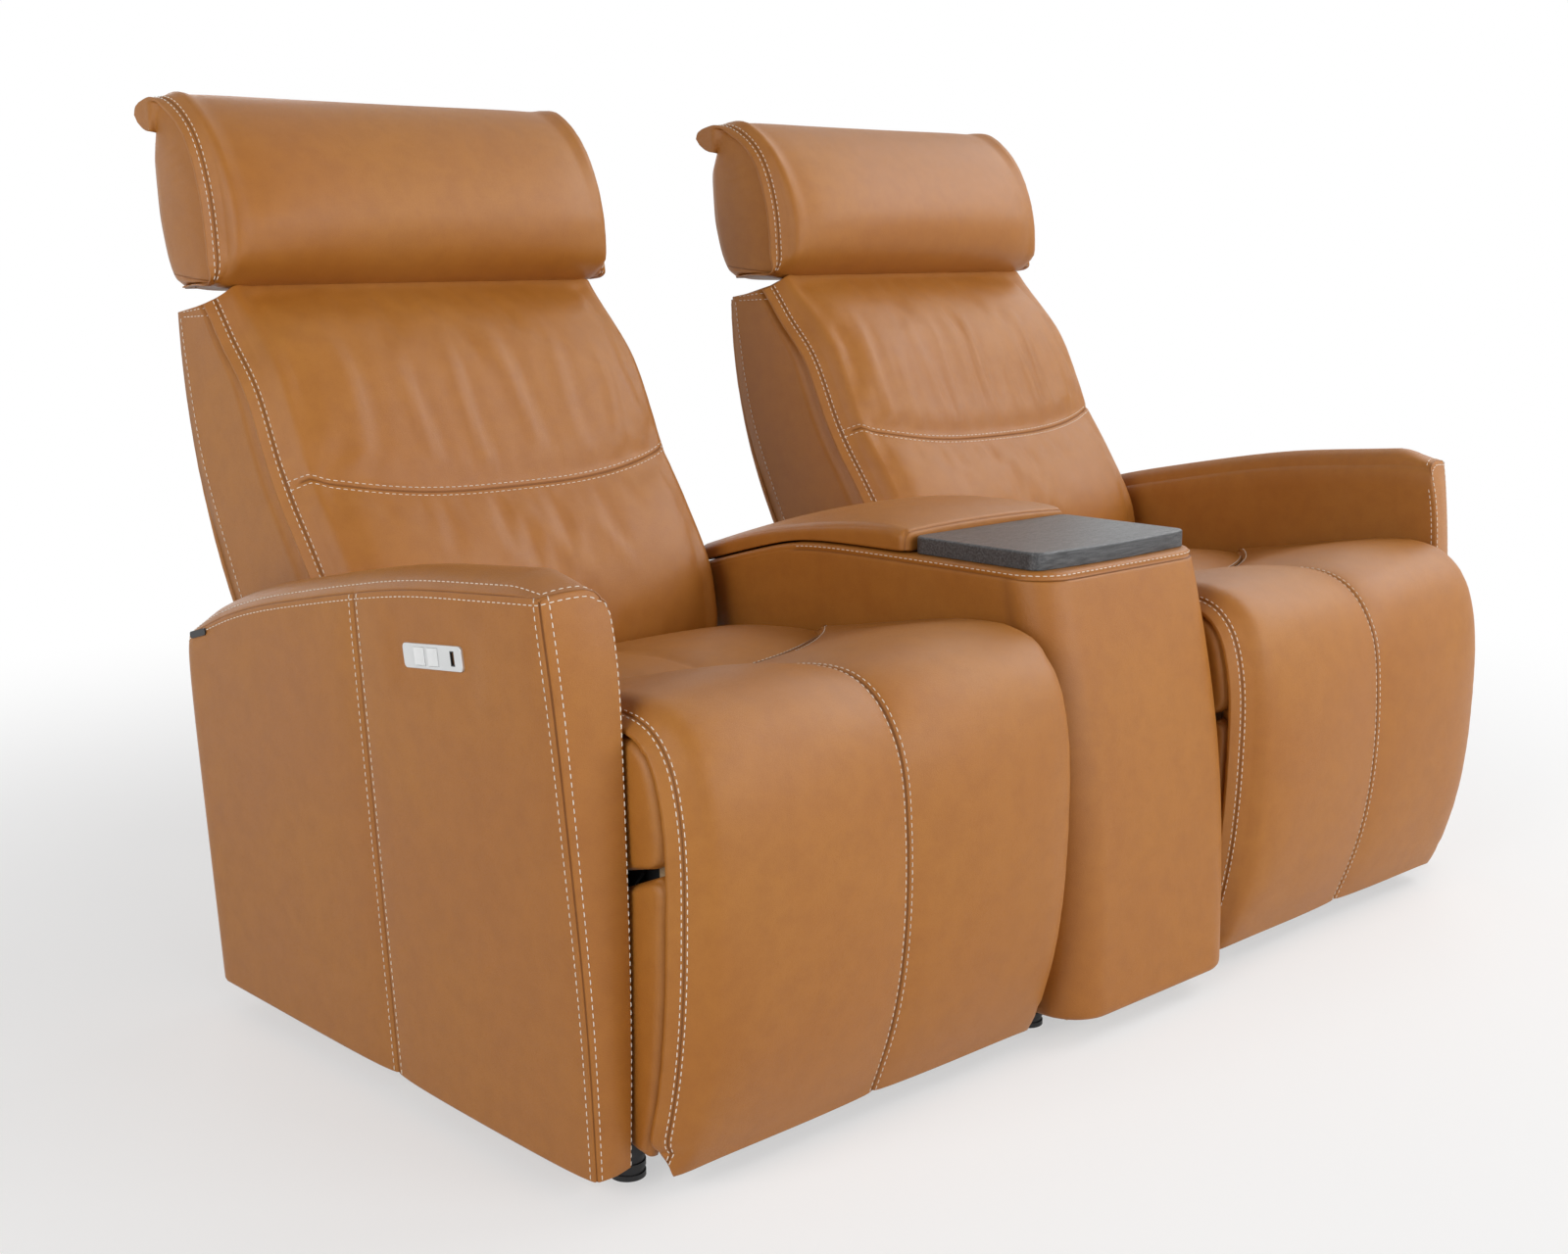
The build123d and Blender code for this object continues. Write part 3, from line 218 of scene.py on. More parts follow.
def bendThrough(knots, values, at):  # natural cubic curve through values at knots
    knots, values = np.asarray(knots, float), np.asarray(values, float)
    count, gaps = len(knots), np.diff(knots)
    system, right = np.eye(count), np.zeros_like(values)
    for i in range(1, count - 1):
        system[i, i - 1:i + 2] = gaps[i - 1], 2 * (gaps[i - 1] + gaps[i]), gaps[i]
        right[i] = 6 * ((values[i + 1] - values[i]) / gaps[i] - (values[i] - values[i - 1]) / gaps[i - 1])
    curl = np.linalg.solve(system, right)
    at = np.clip(at, knots[0], knots[-1])
    k = np.clip(np.searchsorted(knots, at, side="right") - 1, 0, count - 2)
    h = gaps[k]
    a = (knots[k + 1] - at) / h
    if values.ndim > 1:
        a, h = a[..., None], h[..., None]
    b = 1 - a
    return a * values[k] + b * values[k + 1] + ((a ** 3 - a) * curl[k] + (b ** 3 - b) * curl[k + 1]) * h * h / 6


def lengthsAlong(points):
    return np.r_[0, np.cumsum(np.linalg.norm(np.diff(np.asarray(points, float), axis=0), axis=1))]


def ease(value):  # smooth 0 to 1
    value = np.clip(value, 0, 1)
    return value * value * (3 - 2 * value)


def spread(low, high, step, seams=()):  # even samples, with close ones beside each seam and on its stitch rows
    near = np.array([0, .7, 1.4, 2.1, 3.1, 4.5, 5.5, 7.5, 9, 12])
    close = np.r_[low, high, [s + d for s in seams for d in (*near, *-near)]]
    close = np.unique(np.round(close[(close >= low) & (close <= high)], 4))
    close = close[np.r_[True, np.diff(close) > .3]]
    even = np.linspace(low, high, max(2, round((high - low) / step) + 1))
    even = [e for e in even if np.abs(close - e).min() > .45 * step]
    return np.unique(np.r_[close, even])


def roundOff(a, b, radius):  # depths from two faces, with the edge between them rounded
    da, db = np.maximum(radius - a, 0), np.maximum(radius - b, 0)
    shrink = np.where((da > 0) & (db > 0), np.maximum(da, db) / np.maximum(np.hypot(da, db), 1e-9), 1)
    return np.where(da > 0, radius - da * shrink, a), np.where(db > 0, radius - db * shrink, b)


def roundEdge(a, faceA, b, faceB, radius):  # places with that edge rounded; a face is its place and its way in, 1 or -1
    (atA, inA), (atB, inB) = faceA, faceB
    depthA, depthB = roundOff((a - atA) * inA, (b - atB) * inB, radius)
    return atA + inA * depthA, atB + inB * depthB


sewing = {"groove": 1.3, "shade": 1.1, "ripple": 7.5, "fade": 17, "clear": 5, "grow": 10}  # mm, ripple along the seam; shade is how wide the painted shade in a seam's groove spreads


class Skin:  # a closed box of grids, bent into a cushion
    def __init__(self, us, vs, ws, shape):
        self.shape = shape
        self.samples = [np.asarray(s, float) for s in (us, vs, ws)]
        counts = [len(s) for s in self.samples]
        skin = np.zeros(counts, bool)
        skin[[0, -1]] = skin[:, [0, -1]] = skin[:, :, [0, -1]] = True
        self.number = -np.ones(counts, int)
        self.number[skin] = np.arange(skin.sum())
        i, j, k = np.nonzero(skin)
        self.u, self.v, self.w = self.samples[0][i], self.samples[1][j], self.samples[2][k]
        faces = []
        for axis in range(3):
            for end in (0, -1):
                n = np.take(self.number, end, axis)
                quads = np.stack([n[:-1, :-1], n[1:, :-1], n[1:, 1:], n[:-1, 1:]], -1).reshape(-1, 4)
                faces.append(quads if (end == -1) == (axis != 1) else quads[:, ::-1])
        self.faces = np.concatenate(faces)
        self.points = np.stack(np.broadcast_arrays(*shape(self.u, self.v, self.w)), -1).astype(float)
        self.shade = np.zeros(len(self.points))
        a, b, c = (self.points[self.faces[:, n]] for n in (0, 1, 2))
        if np.einsum("ij,ij->", a, np.cross(b, c)) < 0:
            self.faces = self.faces[:, ::-1]

    def line(self, *at):  # vertex numbers along a grid line: None, or (from, to), is the axis that it runs along
        picks = []
        for place, samples in zip(at, self.samples):
            if place is None:
                picks.append(slice(None))
            elif isinstance(place, tuple):
                first, last = (int(np.abs(samples - p).argmin()) for p in place)
                picks.append(slice(first, last + 1))
            else:
                picks.append(int(np.abs(samples - place).argmin()))
        return self.number[tuple(picks)]

    def normals(self):
        a, b, c, d = (self.points[self.faces[:, n]] for n in range(4))
        across = np.cross(c - a, d - b)
        total = np.zeros_like(self.points)
        for n in range(4):
            for axis in range(3):
                total[:, axis] += np.bincount(self.faces[:, n], across[:, axis], len(total))
        return total / np.maximum(np.linalg.norm(total, axis=1, keepdims=True), 1e-9)

    def push(self, amount):  # mm along the surface's own normals
        self.points += self.normals() * np.asarray(amount)[:, None]

    def reach(self, line):  # distance of every vertex from a seam, and how far along the seam that is
        path = self.points[line]
        along = lengthsAlong(path)
        gap, place = np.empty(len(self.points)), np.empty(len(self.points))
        for part in np.array_split(np.arange(len(self.points)), len(self.points) // 3000 + 1):
            d = np.linalg.norm(self.points[part][:, None] - path[None], axis=2)
            nearest = d.argmin(1)
            gap[part], place[part] = d[np.arange(len(part)), nearest], along[nearest]
        return gap, place

    def sew(self, lines, groove=1.1, dip=2.2, pucker=.5, broad=16, tight=None):  # seams draw the leather in
        push = np.zeros(len(self.points))
        for line in lines:
            gap, place = self.reach(line)
            knots = np.arange(-20, place.max() + 40, sewing["ripple"])
            ripple = bendThrough(knots, chance.normal(0, 1, len(knots)), place) * (tight(place) if tight else 1)
            push -= groove * np.exp(-(gap / sewing["groove"]) ** 2) + dip * np.exp(-gap / broad)
            push += pucker * ripple * np.exp(-gap / sewing["fade"]) * ease((gap - sewing["clear"]) / sewing["grow"])
            # painted shade: darkness painted into the bottom of each seam's groove, stronger for deeper grooves
            self.shade = np.maximum(self.shade, min(1, groove) * np.exp(-(gap / sewing["shade"]) ** 2))
        self.push(push)

    def carry(self, us, vs, moves, start, deep):  # the settled cloth's moves, fading in from w = start outwards
        moves = bendThrough(us, moves.reshape(len(us), -1), self.samples[0]).reshape(-1, len(vs), 3).transpose(1, 0, 2)
        moves = bendThrough(vs, moves.reshape(len(vs), -1), self.samples[1]).reshape(len(self.samples[1]), -1, 3)
        i, j = (np.searchsorted(s, p) for s, p in zip(self.samples, (self.u, self.v)))
        self.points += moves[j, i] * np.clip((self.w - start) / deep, 0, 1)[:, None]


def folds(u, v, lines):  # soft wrinkles: (u, v) from, (u, v) to, width, height
    total = np.zeros_like(u)
    for u0, v0, u1, v1, width, height in lines:
        du, dv = u1 - u0, v1 - v0
        size = math.hypot(du, dv)
        along = ((u - u0) * du + (v - v0) * dv) / size ** 2
        wander = width * .5 * np.sin(along * 5 + u0)
        side = ((u - u0) * dv - (v - v0) * du) / size + wander
        swell = np.sin(math.pi * np.clip(along, 0, 1)) ** .8
        ridge, hollow = np.exp(-(side / width) ** 2), np.exp(-((side - 1.5 * width) / width) ** 2)
        total += height * swell * (ridge - .7 * hollow)
    return total


def addMesh(name, points, faces, finish, shade=None):
    mesh = bpy.data.meshes.new(name)
    mesh.from_pydata(points * .001, [], faces)
    mesh.polygons.foreach_set("use_smooth", np.ones(len(mesh.polygons), bool))
    mesh.materials.append(finishes[finish])
    # the painted seam shade goes onto the mesh as its seam attribute
    if shade is not None:
        mesh.attributes.new("seam", "FLOAT", "POINT").data.foreach_set("value", shade.astype(np.float32))
    mesh.update()
    piece = bpy.data.objects.new(name, mesh)
    bpy.context.scene.collection.objects.link(piece)
    return piece


cloth = {"frames": 20, "pressure": 4, "tension": 14, "shear": 6, "bending": 2.5, "mass": .4, "quality": 5, "held": 4}


def settle(name, fine, samples, gaps, look):  # a coarse copy swells as cloth, held at its seams; fine follows it
    skin = Skin(*samples, fine.shape)
    piece = addMesh("settling", skin.points, skin.faces, "leather")
    held = piece.vertex_groups.new(name="held")
    clear = np.minimum.reduce(gaps(np.abs(skin.u), skin.v)) - cloth["held"]  # mm away from the nearest seam
    loose = (skin.w == samples[2][-1]) * ease(clear / look["loosen"])
    for n, weight in enumerate(1 - loose):
        held.add([n], float(weight), "REPLACE")
    sheet = piece.modifiers.new("cloth", "CLOTH")
    s = sheet.settings
    s.quality, s.mass, s.vertex_group_mass, s.pin_stiffness = cloth["quality"], cloth["mass"], "held", 1
    s.tension_stiffness = s.compression_stiffness = cloth["tension"]
    s.shear_stiffness, s.bending_stiffness, s.shrink_min = cloth["shear"], cloth["bending"], -look["slack"]
    s.use_pressure, s.uniform_pressure_force = True, cloth["pressure"]
    s.effector_weights.gravity = 0
    sheet.collision_settings.use_collision = False
    for n in range(1, cloth["frames"] + 1):
        bpy.context.scene.frame_set(n)
    shown = piece.evaluated_get(bpy.context.evaluated_depsgraph_get())
    settled = np.empty(len(skin.points) * 3)
    shown.data.vertices.foreach_get("co", settled)
    moves = settled.reshape(-1, 3) * 1000 - skin.points
    size = np.linalg.norm(moves, axis=1, keepdims=True)
    moves *= np.minimum(1, look["cap"] / np.maximum(size, 1e-6))
    print(name, "settled,", len(skin.points), "points, up to", round(float(size.max()), 1), "mm")
    bpy.context.scene.frame_set(1)
    bpy.data.objects.remove(piece, do_unlink=True)
    fine.carry(*skin.samples[:2], moves[skin.number[:, :, -1]], *look["carry"])


stitch = {"pitch": 8.1, "length": 5.6, "thick": .52, "lift": .3, "sink": -.5, "end": .6,
          "places": (0, .22, .78, 1), "around": 6, "beside": (-2.1, 2.1), "apart": 4.5, "row": 5.5,  # mm from seams
          "caps": [[3, 2, 1, 0], [5, 4, 3, 0], [18, 19, 20, 21], [18, 21, 22, 23]]}


def threads(name, skin, lines):  # rows of stitches along lines of vertices
    allNormals = skin.normals()
    made, around, places = [], stitch["around"], np.array(stitch["places"])
    turn = np.arange(around)[:, None] * math.pi / 3
    rise = np.array([stitch["sink"], stitch["lift"], stitch["lift"], stitch["sink"]])[:, None]
    thick = stitch["thick"] * np.array([stitch["end"], 1, 1, stitch["end"]])[None, :, None, None]
    for line in lines:
        points, normals = skin.points[line], allNormals[line]
        along = lengthsAlong(points)
        count = int(along[-1] // stitch["pitch"])
        if count < 1:
            continue
        start = (np.arange(count) + .5) * along[-1] / count - stitch["length"] / 2
        at = start[:, None] + stitch["length"] * places
        centre, up = (np.stack([np.interp(at, along, p[:, n]) for n in range(3)], -1) for p in (points, normals))
        up /= np.linalg.norm(up, axis=-1, keepdims=True)
        run = centre[:, 3:] - centre[:, :1]
        side = np.cross(np.broadcast_to(run, up.shape), up)
        side /= np.linalg.norm(side, axis=-1, keepdims=True)
        ring = np.cos(turn) * side[:, :, None] + np.sin(turn) * up[:, :, None]
        made.append(((centre + up * rise)[:, :, None] + thick * ring).reshape(-1, 3))
    points = np.concatenate(made)
    ring = np.arange(around)
    on, each = (ring + 1) % around, around * len(places)
    walls = [np.stack([ring, on, on + around, ring + around], -1) + r * around for r in range(len(places) - 1)]
    faces = np.concatenate([*walls, stitch["caps"]])[None] + each * np.arange(len(points) // each)[:, None, None]
    return addMesh(name, points, faces.reshape(-1, 4), "thread")


def sideRows(skin, look, span):  # two rows beside each side seam
    return [skin.line(s * look["seam"] + d, span, look["thick"]) for s in (-1, 1) for d in stitch["beside"]]


def leatherPiece(name, skin, replaced):
    piece = addMesh(name, skin.points, skin.faces, "leather", skin.shade)
    if replaced:
        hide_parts(*replaced)
    print(name, len(skin.points), "points")
    return piece


arm = {
    "wide": 60, "long": 740, "tall": 560,  # how far u, v and w run: inward, to the rear and up
    "inner": 732.5, "foot": 780.5, "lean": 23, "low": 30, "frontHigh": 591, "rearHigh": 451, "midAt": 345,
    "crown": 19, "peak": .58, "fade": 60, "roll": 24, "frontEdge": 4, "rearEdge": 9, "rearTop": 12, "puff": 3.2,
    "puffClear": 45, "puffIn": (34, 26),  # grows away from the seams, and fades out towards the inside
    "plate": (-207, 509.5, 58, 23), "plateFade": 35,  # flat under the control plate: middle and half sizes
    "outerFront": [(30, -422), (197, -420), (357, -409), (512, -395), (591, -385), (640, -380)],
    "innerFront": [(30, -418), (173, -423), (319, -422), (459, -418), (550, -409), (590, -399), (640, -390)],
    "topSeam": [(-430, 594), (-385, 591), (-279, 582), (-158, 570), (-54, 553), (59, 531), (220, 492), (330, 451)],
    "rear": [(30, 316), (451, 330)], "midSeam": [(31, -75), (549, -60)],
    "row": 7.5, "frontRow": 9, "inRow": 57, "inRowHigh": 530,  # rows of thread beside the seams
}


def armShape(u, v, w):
    a, s, h = arm, u / arm["wide"], w / arm["tall"]
    zFront, zRear = (a["low"] + h * (a[high] - a["low"]) for high in ("frontHigh", "rearHigh"))
    outerFront, innerFront = (bendThrough(*zip(*a[k]), zFront) for k in ("outerFront", "innerFront"))
    front = (1 - s) * outerFront + s * innerFront
    rear = np.interp(zRear, *zip(*a["rear"]))
    middle = np.interp((zFront + zRear) / 2, *zip(*a["midSeam"]))
    y = np.where(v < a["midAt"], front + (middle - front) * v / a["midAt"],
                 middle + (rear - middle) * (v - a["midAt"]) / (a["long"] - a["midAt"]))
    peak, fade = a["peak"], a["fade"]
    swell = np.where(s < peak, 1 - (1 - s / peak) ** 2, 1 - .7 * ((s - peak) / (1 - peak)) ** 2)
    crown = a["crown"] * swell * (.22 + .78 * ease(v / fade)) * (.55 + .45 * ease((a["long"] - v) / fade))
    top = bendThrough(*zip(*a["topSeam"]), y) + crown
    z = a["low"] + h * (top - a["low"])
    outer = a["foot"] + a["lean"] * (z - a["low"]) / (a["frontHigh"] - a["low"])
    x = outer + s * (a["inner"] - outer)
    inner, outer, front, rear, top = (a["inner"], 1), (outer, -1), (front, 1), (rear, -1), (top, -1)
    x, z = roundEdge(x, inner, z, top, a["roll"])
    for end, radius in ((front, a["frontEdge"]), (rear, a["rearEdge"])):
        x, y = roundEdge(x, outer, y, end, radius)
        x, y = roundEdge(x, inner, y, end, radius)
    y, z = roundEdge(y, rear, z, top, a["rearTop"])
    return x, y, z


def makeArm(side, sign):
    wide, long, tall, mid = (arm[k] for k in ("wide", "long", "tall", "midAt"))
    us, vs, ws = spread(0, wide, 7, (0, wide)), spread(0, long, 12, (0, mid)), spread(0, tall, 12, (0, tall))
    skin = Skin(us, vs, ws, armShape)
    seams = [skin.line(0, None, tall), skin.line(0, 0, None), skin.line(None, 0, tall), skin.line(wide, 0, None),
             skin.line(0, mid, None)]
    y, z, plateLong, plateTall = arm["plate"]
    outside = [np.abs(skin.points[:, k] - at) - half for k, at, half in ((1, y, plateLong), (2, z, plateTall))]
    flat = np.where(skin.u == 0, ease(np.hypot(*np.maximum(outside, 0)) / arm["plateFade"]), 1)
    clear = np.minimum.reduce([1 - np.exp(-skin.reach(line)[0] / arm["puffClear"]) for line in seams])
    fadeFrom, fadeLong = arm["puffIn"]
    skin.push(arm["puff"] * flat * clear * (1 - ease((skin.u - fadeFrom) / fadeLong)))
    skin.sew(seams, dip=1.2, pucker=.12, broad=9)
    skin.points[:, 0] *= sign
    if sign < 0:
        skin.faces = skin.faces[:, ::-1]
    piece = leatherPiece(f"{side}_arm", skin, [f"arm_cover_{side}"])
    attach(piece, "base")
    row, front, inside = arm["row"], arm["frontRow"], arm["inRow"]
    rows = [skin.line(0, None, tall - row), skin.line(row, (front, long), tall), skin.line((row, inside), front, tall),
            skin.line(0, front, None), skin.line(front, 0, None), skin.line(wide, front, (0, arm["inRowHigh"])),
            skin.line(0, mid - row, None), skin.line(0, mid + row, None),
            np.r_[skin.line((0, inside), 0, tall - row), skin.line(inside, 0, (0, tall - row))[::-1]]]
    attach(threads(f"{side}_arm_stitches", skin, rows), "base")


chaise = {
    "half": 286, "flat": 262, "seam": 275, "pinch": 19, "thick": 22, "lip": 8, "corner": 40, "turn": 11, "pinchFrom": 4,
    "slack": 0, "cap": 6, "loosen": 22, "midHeld": 140, "midFrom": 150,  # where the middle seam is held and starts
    "bend": (345, 60),  # the side seams pucker more here
    "carry": (14, 8), "blend": ((-.425, .478), (-.495, .408)),  # y and z in m, from the seat to the leg rest
    "centre": [(-212, 440), (-250, 447), (-290, 457), (-332, 467), (-372, 473), (-409, 473), (-438, 465), (-461, 450),
               (-480, 426), (-494, 396), (-502, 348), (-505, 288), (-501, 199), (-485, 114), (-455, 29)],
    "lobe": [(-183, 441), (-228, 453), (-275, 466), (-325, 478), (-372, 487), (-412, 489), (-445, 481), (-470, 464),
             (-490, 438), (-503, 405), (-511, 355), (-513, 290), (-509, 200), (-494, 115), (-459, 29)],
    "edge": [(-97, 441), (-170, 450), (-240, 460), (-305, 470), (-360, 475), (-405, 474), (-433, 467), (-452, 453),
             (-466, 432), (-475, 405), (-482, 360), (-483, 293), (-479, 205), (-467, 118), (-443, 27)],
    "inside": [(-212, 418), (-250, 424), (-290, 431), (-332, 438), (-370, 446), (-403, 452), (-426, 450), (-439, 441),
               (-447, 422), (-452, 396), (-450, 350), (-444, 288), (-443.5, 199), (-443.5, 114), (-443.5, 36)],
}
chaiseRun = lengthsAlong(chaise["lobe"])
seamCurve = {"middle": -211, "bow": 115, "half": 284}


def seatSeam(u):  # y of the seam between seat and chaise
    return seamCurve["middle"] + seamCurve["bow"] * (u / seamCurve["half"]) ** 2


def flangeTurn(look, u):  # the edge beside a side seam stands proud inside it and sinks outside it
    return look["turn"] * (2 * np.clip((np.abs(u) - look["flat"]) / (look["half"] - look["flat"]), 0, 1) - 1)


def pinched(look, below):  # how far the sides are drawn in under the edge
    return look["pinch"] * ease((below - look["pinchFrom"]) / 4)


def chaiseShape(u, v, w):
    c, run = chaise, chaiseRun[-1]
    s = np.minimum(np.abs(u) / c["flat"], 1)
    sideGap, endGap = roundOff(c["half"] - np.abs(u), run - v, c["corner"])
    x, v = np.sign(u) * (c["half"] - sideGap), run - endGap
    centre, lobe, edge, inside = (bendThrough(chaiseRun, c[k], v) for k in ("centre", "lobe", "edge", "inside"))
    toLobe = np.sin(math.pi * np.minimum(s, .5))[:, None] ** .7
    fall = 1 - np.sqrt(1 - np.clip((s - .5) / .5, 0, 1) ** 5)[:, None]
    turn = flangeTurn(c, u)[:, None]
    edge = edge + turn * (inside - edge) / np.linalg.norm(inside - edge, axis=1, keepdims=True)
    outer = np.where((s < .5)[:, None], centre + (lobe - centre) * toLobe, lobe + (edge - lobe) * fall)
    atCentre, atLobe, atEdge = (c[k][0][0] for k in ("centre", "lobe", "edge"))
    first = np.where(s < .5, atCentre + (atLobe - atCentre) * toLobe[:, 0], atLobe + (atEdge - atLobe) * fall[:, 0])
    outer[:, 0] += (seatSeam(np.abs(x)) - first) * (1 - ease(v / chaiseRun[2]))  # rear end on the seat's seam
    rearShare = (1 - v / chaiseRun[1]).clip(0, 1)
    inside[:, 0] += np.where(v < chaiseRun[1], (outer - centre)[:, 0], 0) * rearShare
    inside[:, 0] = np.where(v > chaiseRun[10], np.maximum(inside[:, 0], outer[:, 0] + 10), inside[:, 0])
    way = inside - outer
    deep = np.linalg.norm(way, axis=1)
    below, lip = c["thick"] - w, c["lip"]
    depth = np.where(below < lip, below, lip + (deep - lip) * (below - lip) / (c["thick"] - lip))
    place = outer + way * (depth / deep)[:, None]
    return x * (1 - pinched(c, below) / c["half"]), place[:, 0], place[:, 1]


def makeChaise(side, sign):
    half, seam, thick, run = chaise["half"], chaise["seam"], chaise["thick"], chaiseRun[-1]
    us = spread(-half, half, 10, (-half, -seam, 0, seam, half))
    ws = np.r_[0, 2, 4, 6, 8, 10, 12, 14, 15, 16, 17, 18, 19.5, 21, thick]
    skin = Skin(us, spread(0, run, 10, (0, run)), ws, chaiseShape)

    def gaps(u, v):
        return chaise["flat"] - u, np.where(v > chaise["midHeld"], u, half), v, run - v

    coarse = np.unique(np.r_[np.linspace(-half, half, 55), -seam, seam]), np.linspace(0, run, 64), np.r_[0, 11, thick]
    settle(f"{side} chaise", skin, coarse, gaps, chaise)
    edges = [skin.line(s * seam, None, thick) for s in (-1, 1)]
    skin.sew([skin.line(0, (chaise["midFrom"], run), thick)], dip=1.5, pucker=.4, broad=10)
    bendAt, bendLong = chaise["bend"]
    skin.sew(edges, dip=1.2, pucker=.5, broad=9, tight=lambda at: 1 + 2.2 * np.exp(-((at - bendAt) / bendLong) ** 2))
    skin.sew([skin.line(None, 0, thick)], groove=2.5, dip=3, pucker=.7)
    skin.points[:, 0] += sign * seatCentre
    piece = leatherPiece(f"{side}_chaise_cover", skin, [f"nose_roll_{side}", f"legrest_pad_{side}"])
    rows = sideRows(skin, chaise, (20, run))
    apart = stitch["apart"]
    rows += [skin.line(d, (chaise["midFrom"] + apart - d, run), thick) for d in (-apart, apart)]
    rows.append(skin.line(None, stitch["row"], thick))
    sewn = threads(f"{side}_chaise_stitches", skin, rows)
    start, end = ((sign * seatCentre * .001, *spot) for spot in chaise["blend"])
    for part in (piece, sewn):
        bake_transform(part)
        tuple(start)
        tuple(end)


edgeRolls = {"inner": 269, "outer": 284.5, "puff": 3, "round": 13}  # padded ends of the leg rest, outside its steel
noseRoll = {
    "front": [(-403, 456), (-426, 452), (-442, 440), (-453, 420), (-460, 394), (-464, 366), (-462, 345), (-448, 334)],
    "rear": [(-399, 448), (-399, 430), (-399, 412), (-399, 395), (-399, 376), (-400, 358), (-402, 340), (-405, 322)],
}
shinRoll = {
    "front": [(-452, 327), (-464, 318), (-466, 295), (-465, 240), (-461, 180), (-453, 120), (-441, 70), (-430, 40)],
    "rear": [(-404, 306), (-400, 296), (-398, 275), (-397, 230), (-397, 175), (-398, 118), (-400, 74), (-402, 46)],
}


def rollShape(look):
    run = lengthsAlong(look["front"])
    length, thick, radius = run[-1], edgeRolls["outer"] - edgeRolls["inner"], edgeRolls["round"]

    def outline(share):
        return (bendThrough(run, look[k], share * length) for k in ("front", "rear"))

    def shape(u, v, w):
        front, rear = outline(v)
        wide = np.maximum(np.linalg.norm(front - rear, axis=1), 1)
        puff = edgeRolls["puff"] * np.sin(math.pi * w) ** .6 * np.sin(math.pi * v) ** .4 * u
        outGap, frontGap = roundOff(thick * (1 - u), wide * (1 - w), radius)
        outGap, endGap = roundOff(outGap, np.minimum(v, 1 - v) * length, radius * .8)
        front, rear = outline(np.where(v < .5, endGap / length, 1 - endGap / length))
        place = rear + (front - rear) * (1 - frontGap / wide)[:, None]
        return edgeRolls["outer"] + puff - outGap, place[:, 0], place[:, 1]

    return shape


def makeRolls(side, sign):
    ends = np.r_[0, .008, .018, .03, .045]
    us, vs = np.r_[0, .2, .4, .55, .7, .8, .9, 1], np.unique(np.r_[ends, np.linspace(.06, .94, 26), 1 - ends])
    ws = np.unique(np.r_[np.linspace(0, 1, 11), .75, .85, .93, .96, .98])
    for part, look in (("nose", noseRoll), ("shin", shinRoll)):
        for end, way in (("l", -1), ("r", 1)):
            skin = Skin(us, vs, ws, rollShape(look))
            skin.points[:, 0] = sign * seatCentre + way * skin.points[:, 0]
            if way < 0:
                skin.faces = skin.faces[:, ::-1]
            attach(leatherPiece(f"{side}_{part}_roll_{end}", skin, []), f"{side}_legrest")


seat = {
    "half": 284, "rear": 78, "front": -350, "low": 351.5, "seamAt": 290, "reach": 430, "edgeRound": 14, "plump": 9,
    "rearHigh": 417, "seamHigh": 440, "step": 24, "slack": .004, "cap": 6, "loosen": 25,
    "carry": (.8, .2), "ahead": 310, "rowHalf": 262, "taper": 6, "crease": .15,
    "rearFall": (7, 4), "seamFall": (10, 3),  # how much lower at the sides and in the middle crease
    "under": [(-350, 438), (-270, 426), (-212, 416), (-97, 416)],  # top of the part below the chaise cover
}


def seatShape(u, v, w):
    half, rear, front, low, seamAt = (seat[k] for k in ("half", "rear", "front", "low", "seamAt"))
    s, t = np.abs(u) / half, v / seamAt
    seamY = seatSeam(np.abs(u))
    y = np.where(v <= seamAt, rear + (seamY - rear) * v / seamAt,
                 seamY + (front - seamY) * (v - seamAt) / (seat["reach"] - seamAt))
    crease = np.exp(-(s / seat["crease"]) ** 2)
    (rearSide, rearMiddle), (seamSide, seamMiddle) = seat["rearFall"], seat["seamFall"]
    back = seat["rearHigh"] - rearSide * s ** 4 - rearMiddle * crease
    ridge = seat["seamHigh"] - seamSide * s ** 6 - seamMiddle * crease
    plump = seat["plump"] * np.sin(math.pi * np.clip(t, 0, 1)) ** .8 * (1 - s ** 4)
    step = seat["seamHigh"] - seat["step"] * ease((v - seamAt) / 3)
    top = np.where(t <= 1, back + (ridge - back) * (1.35 * t - .35 * t * t) + plump,
                   np.minimum(np.interp(y, *zip(*seat["under"])), step))
    z = low + (top - low) * w
    inDepth, topDepth = roundOff(half - np.abs(u), top - z, seat["edgeRound"])
    return np.sign(u) * (half - inDepth - seat["taper"] * (1 - w) ** .5), y, top - topDepth


def makeSeat(side, sign):
    half, seamAt, reach = seat["half"], seat["seamAt"], seat["reach"]
    ahead, rowHalf = seat["ahead"], seat["rowHalf"]
    below = np.r_[seamAt + np.r_[1, 2, 3, 6, 15], np.linspace(ahead, reach, 10)]  # under the chaise cover
    vs = np.unique(np.r_[spread(0, seamAt, 10, (seamAt,)), below])
    ws = np.r_[0, .1, .3, .5, .7, .8, .86, .9, .93, .96, .98, 1]
    skin = Skin(spread(-half, half, 11, (0,)), vs, ws, seatShape)
    coarse = (np.linspace(-half, half, 57), np.r_[np.linspace(0, seamAt, 32), np.linspace(ahead, reach, 8)],
              np.r_[0, .5, 1])
    settle(f"{side} seat", skin, coarse, lambda u, v: (half - u, v, seamAt - v), seat)
    skin.sew([skin.line(None, seamAt, 1)], groove=1.5, dip=2, pucker=.8)
    skin.points[:, 0] += sign * seatCentre
    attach(leatherPiece(f"{side}_seat_cushion", skin, [f"seat_cushion_{side}"]), "base")
    row = skin.line((-rowHalf, rowHalf), seamAt - stitch["row"], 1)
    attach(threads(f"{side}_seat_stitches", skin, [row]), "base")


